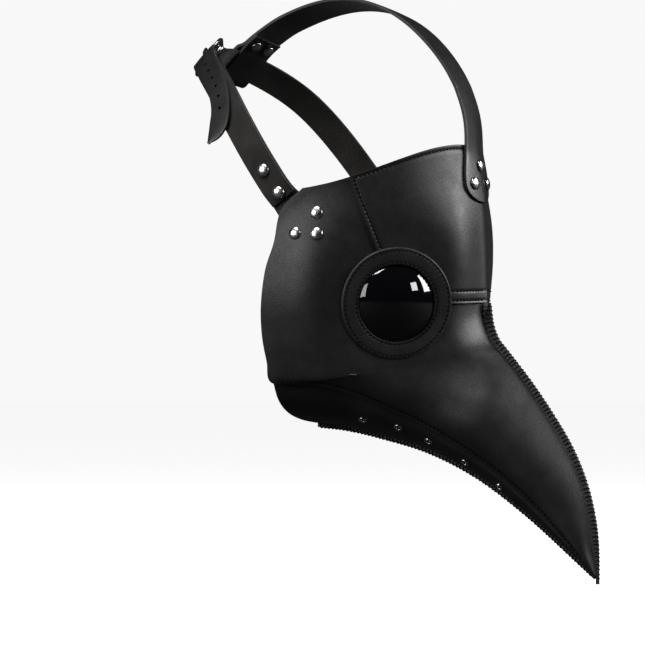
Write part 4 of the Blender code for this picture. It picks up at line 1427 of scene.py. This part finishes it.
def buckle():
    bar, onward, along, outward = buckle_axes()
    points = []
    for x_way, y_way, first in ((1, 1, 0), (-1, 1, 90), (-1, -1, 180), (1, -1, 270)):
        near = BUCKLE_CORNER if x_way < 0 else BUCKLE_LENGTH - BUCKLE_CORNER
        middle = bar + onward * near
        middle += along * (y_way * (BUCKLE_HALF - BUCKLE_CORNER))
        for angle in evenly(math.radians(first), math.radians(first + 90), 8):
            points.append(middle + (onward * math.cos(angle) + along * math.sin(angle)) * BUCKLE_CORNER)
    wire("buckle_frame", points + points[:1], BAR_RADIUS)
    prong(bar, onward, outward)


def prong(bar, onward, outward):
    """Wire curled round the bar and reaching over the frame's far side."""
    curl = BAR_RADIUS + PRONG_RADIUS + GAP
    points = []
    for angle in evenly(math.radians(330), math.radians(110), 24):
        points.append(bar + (onward * math.cos(angle) + outward * math.sin(angle)) * curl)
    far = BUCKLE_LENGTH
    reach = [(4, curl + 0.9), (11, curl + 1.4), (far, curl + 0.2), (far + 2.5, curl - 0.3)]
    reach = [points[-1]] + [bar + onward * away + outward * up for away, up in reach]
    points += [spline(reach, place) for place in evenly(0.15, len(reach) - 1, 30)]
    wire("buckle_prong", points, PRONG_RADIUS)


def wire(cad_node, points, radius):
    heap = Heap()
    heap.tube([point * MM for point in points], [radius * MM] * len(points), 16)
    heap.finish(cad_node + "_wire", NICKEL, body_of(cad_node), cad_node)


# Camera, light and floor.


def aim(made, target):
    made.rotation_mode = "QUATERNION"
    made.rotation_quaternion = (target - made.location).to_track_quat("-Z", "Y")


def camera():
    data = bpy.data.cameras.new("camera")
    data.sensor_width = 36.0
    data.lens = data.sensor_width * CAMERA_DISTANCE / VIEW_WIDTH
    data.clip_end = 100.0
    made = link("camera", data)
    turn = math.radians(CAMERA_TURN)
    made.location = CAMERA_TARGET + Vector((math.sin(turn), -math.cos(turn), 0.0)) * CAMERA_DISTANCE
    aim(made, CAMERA_TARGET)
    bpy.context.scene.camera = made


def softbox(name, place, target, size, power):
    data = bpy.data.lights.new(name, "AREA")
    data.shape = "RECTANGLE"
    data.size, data.size_y = size
    data.energy = power
    made = link(name, data)
    made.location = place
    aim(made, Vector(target))


def studio():
    """Four soft lights, and a background that is pale to the camera and dark to every other ray."""
    softbox("key_softbox", (-0.25, -1.98, 0.72), (0.0, -0.08, 0.03), (0.45, 0.5), 7)
    softbox("front_softbox", (0.85, -1.85, 0.85), (0.0, -0.08, 0.04), (0.9, 1.0), 34)
    softbox("side_softbox", (-1.85, 1.05, 0.62), (0.0, 0.0, 0.05), (1.2, 1.0), 17)
    softbox("top_softbox", (-1.0, 0.25, 1.9), (0.0, 0.0, 0.0), (1.0, 0.8), 34)
    world_paint = bpy.data.worlds.new("studio")
    world_paint.use_nodes = True
    tree = world_paint.node_tree
    background = tree.nodes["Background"]
    background.inputs["Color"].default_value = (1.0, 1.0, 1.0, 1.0)
    path = tree.nodes.new("ShaderNodeLightPath")
    strength = spread(tree, path.outputs["Is Camera Ray"], 0.0, 1.0, 0.003, 0.94)
    tree.links.new(strength, background.inputs["Strength"])
    bpy.context.scene.world = world_paint
    bpy.context.scene.view_settings.view_transform = "Standard"


def floor():
    """A pale floor, lit by itself for the camera and dark to every other ray."""
    work = bmesh.new()
    bmesh.ops.create_circle(work, cap_ends=True, segments=96, radius=FLOOR_RADIUS)
    paint, tree, shader = material("pale_floor", Roughness=0.9, Emission_Color=(1.0, 1.0, 1.0, 1.0))
    seen = tree.nodes.new("ShaderNodeLightPath").outputs["Is Camera Ray"]
    feed(
        shader, Base_Color=ramp(tree, seen, 0.0, 1.0, (0.003, 0.003, 0.003), (0.8, 0.8, 0.8)),
        Emission_Strength=spread(tree, seen, 0.0, 1.0, 0.0, 0.92),
    )
    made = new_object("floor", mesh_from(work, "floor"), (paint,))
    made.location.z = CAD_BOX[0].z - FLOOR_GAP


def mask():
    for side_name, side in SIDES.items():
        side_panel(side_name, side)
        gusset(side_name, side)
        eye_ring(side_name, side)
        lens(side_name, side)
    brow_panel()
    panel_stitches()
    fin("ridge_binding", RIDGE_FIN, 1)
    fin("keel_binding", KEEL_FIN, -1)
    right_strap()
    left_strap()
    crown_strap()
    rivets_and_eyelets()
    buckle()


mask()
camera()
studio()
floor()
